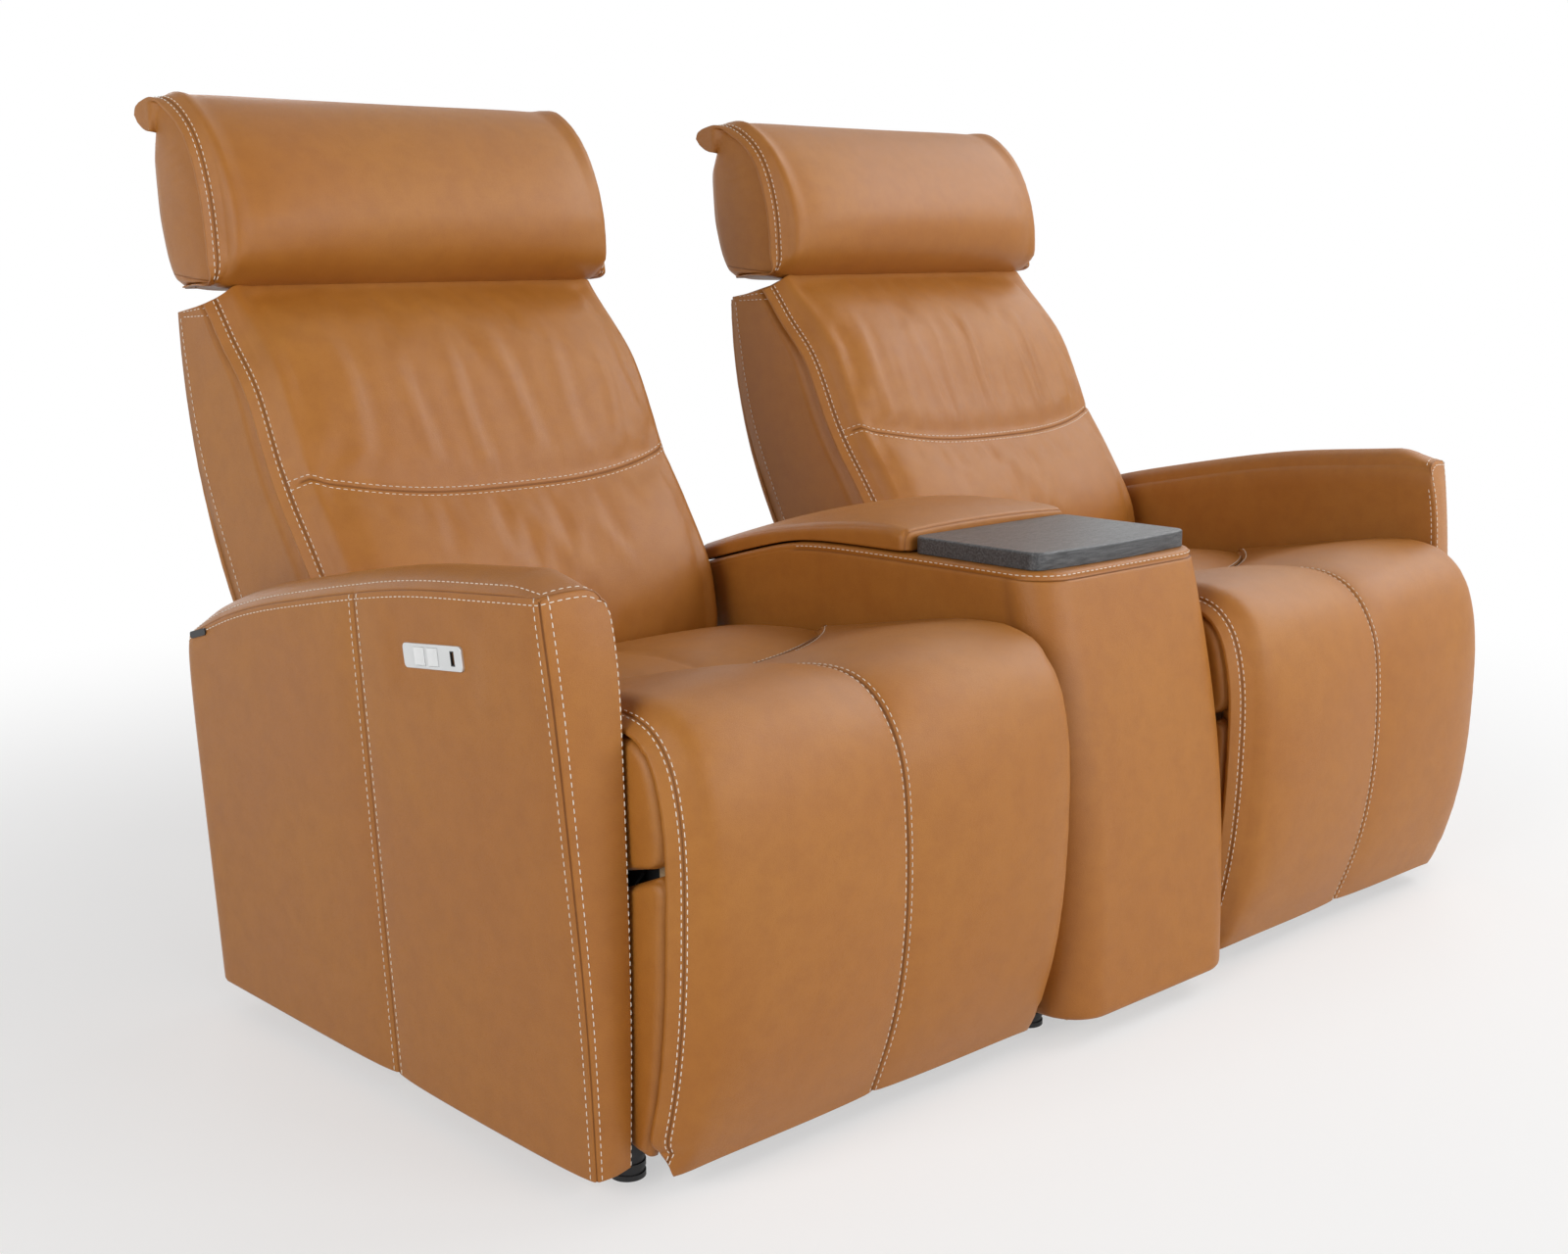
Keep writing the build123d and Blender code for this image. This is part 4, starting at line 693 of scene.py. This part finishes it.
back = {
    "half": 288, "flat": 265, "seam": 278, "pinch": 14, "crown": 36, "thick": 20, "lip": 9, "pinchFrom": 4,
    "sag": (46, 150), "fades": (75, 90), "ramp": 30, "refill": .85, "foldSpan": 225,
    "lift": (10, 235, 38, 16), "dip": (5, 245, 40, 10),  # top edge up at the middle, rear edge down at the ends
    "turn": 11, "slack": .01, "cap": 7, "loosen": 24, "carry": (11, 9), "crossHigh": 633, "heel": 118,
    "endRows": (5.5, 15), "endSpan": (2, 13), "endLow": 40,  # rows of thread on the end caps
    "front": [(356, 842), (341, 825), (316, 795), (273, 750), (245, 703), (223, 658), (197, 614), (175, 583),
              (150, 547), (129, 515), (112, 480), (104, 445), (101, 418), (104, 402)],
    "narrow": [1, 1, 1, 1, 1, 1, .996, .992, .988, .986, .986, .986, .986, .986],
    "rear": [828, 815, 790, 752, 708, 668, 628, 600, 568, 540, 510, 478, 448, 430],
    "folds": {"left": (6, 2.7, 11), "right": (10, 4.2, 7.5)},  # count, height, width
}
rearCurve = {"y": -232, "z": 832, "board": 650, "wrap": 18, "wrapFrom": 269}  # centre and radius, wider at the sides
backRun = lengthsAlong(back["front"])
crossAt = float(np.interp(-back["crossHigh"], [-p[1] for p in back["front"]], backRun))


def onRear(radius, z):
    return rearCurve["y"] + np.sqrt(radius ** 2 - (z - rearCurve["z"]) ** 2)


def backShape(u, v, w):
    b, run = back, backRun[-1]
    s = np.minimum(np.abs(u) / b["flat"], 1)
    (sag, sagLong), (topFade, lowFade) = b["sag"], b["fades"]
    at = np.minimum(v + sag * (1 - s ** 3) * np.exp(-((v - crossAt) / sagLong) ** 2), run)
    spots = at, np.minimum(at + 1, run), np.maximum(at - 1, 0)
    front, ahead, behind = (bendThrough(backRun, b["front"], spot) for spot in spots)
    step = ahead - behind
    out = np.stack([step[:, 1], -step[:, 0]], -1) / np.linalg.norm(step, axis=1, keepdims=True)
    out *= np.sign(-out[:, :1] + 1e-9)
    swell = b["crown"] * np.sqrt(1 - s ** 6) * (.4 + .6 * ease(v / topFade)) * (.8 + .2 * ease((run - v) / lowFade))
    turn = flangeTurn(b, u) * ease((np.abs(u) - b["flat"] + b["ramp"]) / b["ramp"])
    front = front + out * (swell - turn)[:, None]
    lift, liftTo, liftOver, liftDeep = b["lift"]
    front[:, 1] += lift * (1 - ease((np.abs(u) - liftTo) / liftOver)) * np.exp(-v / liftDeep)
    dip, dipFrom, dipOver, dipDeep = b["dip"]
    z = np.interp(v, backRun, b["rear"]) - dip * ease((np.abs(u) - dipFrom) / dipOver) * np.exp(-v / dipDeep)
    y = onRear(rearCurve["board"] + rearCurve["wrap"] * ease((np.abs(u) - rearCurve["wrapFrom"]) / 3), z)
    heel = ease((v - backRun[-2]) / (run - backRun[-2]))
    rear = np.stack([y + (b["heel"] - y) * heel, z], -1)
    way = rear - front
    deep = np.linalg.norm(way, axis=1)
    below, thin = b["thick"] - w, deep * .4
    lip = np.minimum(b["lip"], thin)
    depth = np.where(below < b["lip"], np.minimum(below, thin * below / b["lip"]),
                     lip + (deep - lip) * (below - b["lip"]) / (b["thick"] - b["lip"]))
    place = front + way * (depth / deep)[:, None]
    tuck = pinched(b, below) * (1 - b["refill"] * ease((below - b["lip"]) / 1.6))
    return u * np.interp(v, backRun, b["narrow"]) * (1 - tuck / b["half"]), place[:, 0], place[:, 1]


def backFolds(side):  # long soft wrinkles above the cross seam, short ones beside its ends
    count, height, width = back["folds"][side]
    lines, span = [], back["foldSpan"]
    for n in range(count):
        u = -span + (n + .5) * 2 * span / count + chance.uniform(-14, 14)
        top, low = crossAt - chance.uniform(130, 215), u + chance.uniform(-6, 16)
        size = width * chance.uniform(.75, 1.2), height * chance.uniform(.6, 1.25)
        lines.append((u, top, low, crossAt - 6, *size))
    for end in (-1, 1):
        for n in range(4):
            lines.append((end * (252 - 9 * n), crossAt - 7, end * (238 - 22 * n), crossAt - 40 - 6 * n, 3.6, 1.5))
    if side == "left":
        return lines + [(95, crossAt + 60, 120, crossAt + 170, 9, 2.2)]
    return lines + [(-140 + 75 * n, crossAt + 12, -95 + 75 * n, crossAt + 85, 9, 2.2) for n in range(4)]


def makeBack(side, sign):
    half, flat, seam, thick, run = *(back[k] for k in ("half", "flat", "seam", "thick")), backRun[-1]
    us = spread(-half, half, 9, (-half, -seam, seam, half))
    ws = np.r_[0, 1, 2, 4, 6, 8, 9, 9.4, 9.8, 10.2, 10.5, 10.8, 11.2, 12, 13, 14, 15, 16, 17.5, 19, thick]
    skin = Skin(us, spread(0, run, 9, (0, crossAt, run)), ws, backShape)

    def gaps(u, v):
        return flat - u, v, np.abs(v - crossAt), run - v

    coarse = (np.unique(np.r_[np.linspace(-half, half, 64), -seam, seam]),
              np.unique(np.r_[np.linspace(0, run, 60), crossAt]), np.r_[0, 10, thick])
    settle(f"{side} back", skin, coarse, gaps, back)
    creases = np.where(skin.w == thick, folds(skin.u, skin.v, backFolds(side)), 0)
    skin.push(creases * ease((flat - np.abs(skin.u)) / 15))
    flanges, cross = [skin.line(s * seam, None, thick) for s in (-1, 1)], skin.line((-flat, flat), crossAt, thick)
    skin.sew(flanges, dip=1.2, pucker=.3, broad=9)
    skin.sew([cross], dip=3.4, pucker=.6, broad=18)
    skin.points[:, 0] += sign * seatCentre
    piece = leatherPiece(f"{side}_back_cushion", skin, [f"back_cushion_{side}"])
    rows = sideRows(skin, back, None)
    rows += [skin.line((-seam, seam), crossAt + s * stitch["row"], thick) for s in (-1, 1)]
    rows += [skin.line(s * half, at, back["endSpan"]) for s in (-1, 1) for at in back["endRows"]]
    rows += [skin.line(s * half, (back["endRows"][1], run - back["endLow"]), 1) for s in (-1, 1)]
    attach(piece, f"{side}_back")
    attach(threads(f"{side}_back_stitches", skin, rows), f"{side}_back")


rearFace = {"half": 283, "low": 411, "high": 819, "inner": 669.6, "outer": 680, "crown": 5, "edge": 7, "curved": True}
kickPanel = {"half": 268, "low": 34, "high": 298, "inner": 286.3, "outer": 298, "crown": 4, "edge": 7, "curved": False}
panelInset = 16  # of the seam that frames a panel


def makePanel(name, sign, look, replaced, body):  # leather over the back's curved rear, or the fixed panel below it
    half, run, edge = look["half"], look["high"] - look["low"], look["edge"]

    def shape(u, v, w):
        s, t = np.abs(u) / half, 2 * v / run - 1
        sideGap, outGap = roundOff(half - np.abs(u), (1 - w) * (look["outer"] - look["inner"]), edge)
        lowGap, outGap = roundOff(v, outGap, edge)
        highGap, outGap = roundOff(run - lowGap, outGap, edge)
        z = look["high"] - highGap
        out = look["outer"] + look["crown"] * (1 - s ** 4) * (1 - t ** 4) * w - outGap
        return np.sign(u) * (half - sideGap), onRear(out, z) if look["curved"] else out, z

    def frameLines(inset):  # left, right, bottom and top, that far inside the edges
        across, up = (inset - half, half - inset), (inset, run - inset)
        return [skin.line(u, up, 1) for u in across] + [skin.line(across, v, 1) for v in up]

    inset = panelInset
    us, vs = spread(-half, half, 14, (inset - half, half - inset)), spread(0, run, 14, (inset, run - inset))
    skin = Skin(us, vs, np.r_[0, .25, .45, .6, .75, .87, 1], shape)
    skin.sew(frameLines(inset), groove=.9, dip=1, pucker=.25, broad=10)
    skin.points[:, 0] += sign * seatCentre
    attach(leatherPiece(name, skin, [replaced]), body)
    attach(threads(f"{name}_stitches", skin, frameLines(inset + stitch["row"])), body)


def makePanels(side, sign):
    makePanel(f"{side}_rear_face", sign, rearFace, f"back_panel_{side}", f"{side}_back")
    makePanel(f"{side}_kick_panel", sign, kickPanel, f"rear_panel_{side}", "base")


head = {
    "half": 289, "flat": 273, "seam": 282, "pinch": 11, "thick": 20, "lip": 8, "turn": 11, "plump": 5, "heel": 12,
    "pinchFrom": 3.5, "ramp": 25, "fades": (60, 25),
    "slack": 0, "cap": 5, "loosen": 24, "heldEnds": 30, "carry": (12, 8),
    "front": [(514, 1056), (511, 1066), (498, 1073), (480, 1078), (450, 1080), (425, 1075), (374, 1045), (330, 997),
              (305, 948), (301, 908), (313, 876), (341, 856), (385, 850), (446, 846)],
    "end": [(514, 1056), (510, 1065), (497, 1071), (476, 1075), (440, 1073), (414, 1062), (377, 1031), (353, 986),
            (340, 936), (336, 891), (337, 872), (344, 861), (375, 856), (436, 853)],
    "rear": [(506, 1047), (494, 1040), (482, 1036), (474, 1035), (478, 1029), (485, 1015), (488, 995), (486, 965),
             (483, 937), (475, 907), (467, 885), (460, 872), (453, 860), (447, 850)],
}
headRun = lengthsAlong(head["end"])
flapAt, heelAt, underAt = (float(headRun[n]) for n in (3, 10, 11))  # ends of the flap, front and lower round


def headShape(u, v, w):
    h = head
    s = np.minimum(np.abs(u) / h["flat"], 1)
    swell = np.sqrt(1 - s ** 8)[:, None]
    front = bendThrough(headRun, h["end"], v) * (1 - swell) + bendThrough(headRun, h["front"], v) * swell
    rear = bendThrough(headRun, h["rear"], v)
    flapFade, fade = h["fades"]
    turn = flangeTurn(h, u) * ease((np.abs(u) - h["flat"] + h["ramp"]) / h["ramp"])
    turn *= ease((v - flapAt) / flapFade) * ease((underAt - v) / fade)
    way = rear - front
    front = front + way * (turn / np.maximum(np.linalg.norm(way, axis=1), 20))[:, None]
    way = rear - front
    deep = np.maximum(np.linalg.norm(way, axis=1), .5)
    below, lip = h["thick"] - w, h["lip"]
    edge = np.minimum(lip, deep * .45)
    depth = np.where(below < lip, edge * below / lip, edge + (deep - edge) * (below - lip) / (h["thick"] - lip))
    place = front + way * (depth / deep)[:, None]
    cap = ease((v - flapAt) / fade)
    heel = h["heel"] * ease((v - heelAt) / (headRun[-1] - heelAt)) ** 1.5  # bottom corners rounded
    plump = h["plump"] * np.sin(math.pi * np.clip((below - lip) / (h["thick"] - lip), 0, 1)) ** .6
    return u * (1 - ((pinched(h, below) - plump) * cap + heel) / h["half"]), place[:, 0], place[:, 1]


def makeHead(side, sign):
    half, seam, thick, run = head["half"], head["seam"], head["thick"], headRun[-1]
    us = spread(-half, half, 9, (-half, -seam, seam, half))
    low = underAt + 6  # seam of the small panel at the bottom of each end
    ws = np.r_[0, 1, 2, 4, 6, 8, 9, 10, 11, 11.5, 12, 12.5, 13, 14, 15, 16, 17, 18, 19, thick]
    skin = Skin(us, spread(0, run, 7, (0, low, run)), ws, headShape)

    def gaps(u, v):
        return head["flat"] - u, v - head["heldEnds"], run - v - head["heldEnds"]

    coarse = np.unique(np.r_[np.linspace(-half, half, 64), -seam, seam]), np.linspace(0, run, 60), np.r_[0, 10, thick]
    settle(f"{side} headrest", skin, coarse, gaps, head)
    fan = [(low - 40 - 14 * n, 118, low - 90 - 22 * n, 55, 3.2, 1.1) for n in range(7)]  # creases on the end caps
    onCap = (np.abs(skin.u) == half) & (skin.w < 12.6)
    skin.push(np.where(onCap, folds(skin.v, skin.w * 10, fan), 0))
    skin.sew([skin.line(s * seam, None, thick) for s in (-1, 1)], dip=1.2, pucker=.4, broad=9)
    skin.sew([skin.line(s * half, low, (1, 12)) for s in (-1, 1)], groove=.7, dip=1.2, pucker=.2, broad=6)
    skin.points[:, 0] += sign * seatCentre
    piece = leatherPiece(f"{side}_headrest_pillow", skin, [f"headrest_pad_{side}"])
    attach(piece, f"{side}_headrest")
    rows = sideRows(skin, head, (3, underAt))
    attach(threads(f"{side}_headrest_stitches", skin, rows), f"{side}_headrest")


console = {
    "half": 154.5, "front": [(28, -496), (160, -493), (300, -482), (430, -458), (541, -430)],
    "rear": [(28, 290), (541, 300)], "corner": 50, "rearCorner": 18, "low": 28.4, "top": 541, "breakAt": -30,
    "slope": 95 / 330, "soften": 50, "rim": 9, "wall": 11, "open": (114.5, -200, 110), "openCorner": 8, "deep": 14,
    "inside": (501, 300, 30.4), "insideRear": 277,  # heights of the rings inside the wall, and their rear
    "rimEnd": -22, "sideSeam": -373, "counts": (40, 64, 24),  # points along the front, a side and the rear
    "foot": [(0, 4), (1, 2.2), (3, .9), (6, .2), (11, 0)],  # height, tuck
    "rimRound": [(.6, 8.3), (.2, 6.6), (.4, 4.5), (1.5, 2.6), (3.5, 1.1), (6.5, .2), (10, 0), (15, 0), (22, 0),
                 (30, 0)],  # inset, drop
}


def deckHeight(y):
    run = y - console["breakAt"]
    return console["top"] - console["slope"] * (run + np.hypot(run, console["soften"])) / 2


def planLoop(front, rear, half, corner, rearCorner):  # from the front's left end, right round
    ahead, beside, behind = console["counts"]
    along = np.linspace(0, 1, beside + 1)[:-1]
    x = np.r_[np.linspace(-1, 1, ahead + 1)[:-1] * half, np.full(beside, half),
              -np.linspace(-1, 1, behind + 1)[:-1] * half, np.full(beside, -half)]
    y = front + np.r_[np.zeros(ahead), along, np.ones(behind), 1 - along] * (rear - front)
    sideDepth, frontDepth = roundOff(half - np.abs(x), y - front, np.minimum(corner, half))
    x, y = np.sign(x) * (half - sideDepth), front + frontDepth
    sideDepth, rearDepth = roundOff(half - np.abs(x), rear - y, rearCorner)
    return np.sign(x) * (half - sideDepth), rear - rearDepth


def consoleRings():
    c, rings = console, []
    rise = c["top"] - c["rim"] - c["low"]
    wall = [(z, 0) for z in (*np.linspace(17, rise - 17, 38), *(rise - d for d in (9, 5, 2.5, 1, 0)))]
    for drop, tuck in c["foot"] + wall:
        front, rear = bendThrough(*zip(*c["front"]), c["low"] + drop), np.interp(c["low"] + drop, *zip(*c["rear"]))
        x, y = planLoop(front + tuck, rear - tuck, c["half"] - tuck, c["corner"], c["rearCorner"])
        rings.append(np.stack([x, y, c["low"] + drop / rise * (deckHeight(y) - c["rim"] - c["low"])], -1))
    rim = len(rings) - 1  # the ring on the rim's seam
    front, rear = c["front"][-1][1], c["rear"][-1][1]
    for inset, drop in c["rimRound"]:
        x, y = planLoop(front + inset, rear - inset, c["half"] - inset, c["corner"] - inset, c["rearCorner"])
        rings.append(np.stack([x, y, deckHeight(y) - drop], -1))
    half, openFront, openRear = c["open"]
    x, y = planLoop(openFront - .5, openRear + .5, half + .5, c["openCorner"], c["openCorner"])
    for drop in (0, c["deep"]):
        rings.append(np.stack([x, y, deckHeight(y) - drop], -1))
    for z in c["inside"]:
        front = bendThrough(*zip(*c["front"]), z) + c["wall"]
        x, y = planLoop(front, c["insideRear"], c["half"] - c["wall"], c["corner"] - c["wall"], c["rearCorner"])
        rings.append(np.stack([x, y, np.minimum(z, deckHeight(y) - c["deep"] - 2)], -1))
    return rings, rim


class RingSkin(Skin):  # closed rings, joined last to first
    def __init__(self, rings):
        self.points = np.concatenate(rings)
        self.shade = np.zeros(len(self.points))
        count, around = len(rings), len(rings[0])
        n = np.arange(count * around).reshape(count, around)
        down, on = np.roll(n, -1, 0), np.roll(n, -1, 1)
        self.faces = np.stack([n, on, np.roll(down, -1, 1), down], -1).reshape(-1, 4)
        self.number = n


def makeConsole():
    rings, rim = consoleRings()
    skin = RingSkin(rings)
    ahead, beside = console["counts"][:2]
    loop = np.roll(np.arange(len(rings[0])), beside)  # left side from the rear, front, right side
    rimY = skin.points[skin.number[rim], 1]
    around = loop[rimY[loop] < console["rimEnd"]]
    walls = loop[:beside], loop[beside + ahead:]
    uprights = [wall[np.abs(rimY[wall] - console["sideSeam"]).argmin()] for wall in walls]
    skin.sew([skin.number[rim][around]], groove=1.4, dip=1, pucker=.15, broad=8)
    skin.sew([skin.number[4:rim, n] for n in uprights], groove=.4, dip=.3, pucker=0, broad=5)
    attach(leatherPiece("console_leather", skin, ["console_cover"]), "base")
    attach(threads("console_stitches", skin, [skin.number[rim + 3][around]]), "base")


lid = {"half": 150, "front": -217, "rear": 166, "round": 12, "nose": 7, "slack": 0, "cap": 3, "loosen": 22,
       "carry": (.8, .2), "ramp": 3,
       "board": (136, 14, 2.5, 12.5),  # recess for the lid board: half width, end gap, height outside it, depth
       "crest": [(-217, 571), (-160, 583), (-100, 583), (-26, 570), (40, 555), (113, 532), (166, 514)],
       "drop": [(-217, 4), (-190, 8), (-154, 15), (-90, 19), (-12, 15), (60, 12), (120, 9), (166, 8)]}


def lidShape(u, v, w):
    half, run = lid["half"], lid["rear"] - lid["front"]
    y = lid["front"] + v
    top = bendThrough(*zip(*lid["crest"]), y) - bendThrough(*zip(*lid["drop"]), y) * (np.abs(u) / half) ** 2.2
    wide, gap, lift, deep = lid["board"]
    board = math.prod(ease(inside / lid["ramp"]) for inside in (wide - np.abs(u), v - gap, run - v - gap))
    low = deckHeight(y) + lift + deep * board
    z = low + (top - low) * w
    sideDepth, topDepth = roundOff(half - np.abs(u), top - z, np.minimum(lid["round"], (top - low) * .8))
    x, z = np.sign(u) * (half - sideDepth), top - topDepth
    y, z = roundEdge(y, (lid["front"], 1), z, (top, -1), lid["nose"])
    sideDepth, frontDepth = roundOff(half - np.abs(x), y - lid["front"], lid["round"])
    x, y = np.sign(x) * (half - sideDepth), lid["front"] + frontDepth
    y, z = roundEdge(y, (lid["rear"], -1), z, (top, -1), lid["round"])
    return x, y, z


def makeLid():
    half, run = lid["half"], lid["rear"] - lid["front"]
    wide, gap = lid["board"][:2]
    us, vs = spread(-half, half, 7, (-wide, wide, -half, half)), spread(0, run, 8, (0, gap, run - gap))
    skin = Skin(us, vs, np.r_[0, .1, .25, .4, .55, .65, .75, .82, .88, .92, .95, .975, 1], lidShape)
    coarse = np.linspace(-half, half, 34), np.linspace(0, run, 42), np.r_[0, .5, 1]
    settle("console lid", skin, coarse, lambda u, v: (half - u, v, run - v), lid)
    seams = [skin.line(None, 0, 1), skin.line(-half, 0, None), skin.line(half, 0, None)]
    skin.sew(seams, groove=.6, dip=.6, pucker=.15, broad=6)
    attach(leatherPiece("console_lid_leather", skin, ["console_lid_pad"]), "console_lid")


for make in (makeArm, makeChaise, makeRolls, makeSeat, makeBack, makePanels, makeHead):
    for side, sign in sides:
        make(side, sign)
makeConsole()
makeLid()

# floor, light and camera
floorLook = {"size": 30, "high": -.0005, "pale": (.88, .88, .88), "shade": (.86, .86, .86),
             "veil": .5, "clear": (1.0, 2.6)}
bpy.ops.mesh.primitive_plane_add(size=floorLook["size"], location=(0, 0, floorLook["high"]))
floor = bpy.context.object
floor.name = "floor"
paper = Finish("palePaper", {"Roughness": .9})
spot = paper.node("VectorMath", {"operation": "LENGTH"}, {0: paper.place}, out=1)
tone = paper.noise(.8, 2).between(.2, .8)
paper.paint({"Base Color": paper.mix(tone, floorLook["shade"], floorLook["pale"])})
glow = paper.node("Emission", {}, {"Color": (1, 1, 1, 1), "Strength": 1})
veil = paper.seenRays() * (floorLook["veil"] + (1 - floorLook["veil"]) * spot.between(*floorLook["clear"]))
mixed = paper.node("MixShader", {}, {0: veil, 1: Wire(paper, paper.shader.outputs[0]), 2: glow})
paper.feed(paper.tree.nodes["Material Output"].inputs["Surface"], mixed)
floor.data.materials.append(paper.material)

air = {"light": .15, "shown": 1}
world = bpy.data.worlds.new("studio")
bpy.context.scene.world = world
world.use_nodes = True
sky = Nodes(world.node_tree)
sky.tree.nodes.remove(sky.tree.nodes["Background"])  # two take its place
wide, white = (sky.node("Background", {}, {"Color": (1, 1, 1, 1), "Strength": air[k]}) for k in ("light", "shown"))
shown = sky.node("MixShader", {}, {0: sky.seenRays(), 1: wide, 2: white})
sky.feed(sky.tree.nodes["World Output"].inputs["Surface"], shown)

lamps = {
    "front": {"at": (-.7, -4.2, 1.5), "to": (0, 0, .5), "size": (2.6, 1.8), "power": 38},
    "key": {"at": (1.4, -4.2, 1.9), "to": (0, 0, .5), "size": (2.6, 1.8), "power": 66},
    "right": {"at": (3.1, -1.8, 2.9), "to": (.1, -.1, .5), "size": (2.4, 2.0), "power": 68},
    "high": {"at": (3.4, .2, 3.2), "to": (.1, -.1, .5), "size": (2.8, 2.2), "power": 36},
    "fill": {"at": (-4.2, -.8, 1.9), "to": (0, 0, .45), "size": (2.4, 2.4), "power": 86},
    "rear": {"at": (.3, 4.2, 2.2), "to": (0, 0, .5), "size": (2.6, 1.8), "power": 34},
}
for name, lamp in lamps.items():
    light = bpy.data.lights.new(name, "AREA")
    light.shape, light.size, light.size_y, light.energy = "RECTANGLE", *lamp["size"], lamp["power"]
    holder = bpy.data.objects.new(name, light)
    holder.location = lamp["at"]
    holder.rotation_euler = (Vector(lamp["to"]) - Vector(lamp["at"])).to_track_quat("-Z", "Y").to_euler()
    bpy.context.scene.collection.objects.link(holder)
print("lamps", sorted(lamps))

shot = {"at": (-1.8153, -1.798, .902), "yaw": 47.1, "pitch": 11.1, "roll": .2, "lens": 44.94, "film": 36}
camera = bpy.data.objects.new("camera", bpy.data.cameras.new("camera"))
camera.data.lens, camera.data.sensor_width = shot["lens"], shot["film"]
yaw, pitch = math.radians(shot["yaw"]), math.radians(shot["pitch"])
look = Vector((math.cos(pitch) * math.cos(yaw), math.cos(pitch) * math.sin(yaw), -math.sin(pitch)))
turn = look.to_track_quat("-Z", "Y").to_matrix().to_4x4() @ Matrix.Rotation(math.radians(-shot["roll"]), 4, "Z")
camera.matrix_world = Matrix.Translation(shot["at"]) @ turn
bpy.context.scene.collection.objects.link(camera)
bpy.context.scene.camera = camera
bpy.context.scene.view_settings.view_transform = "Standard"
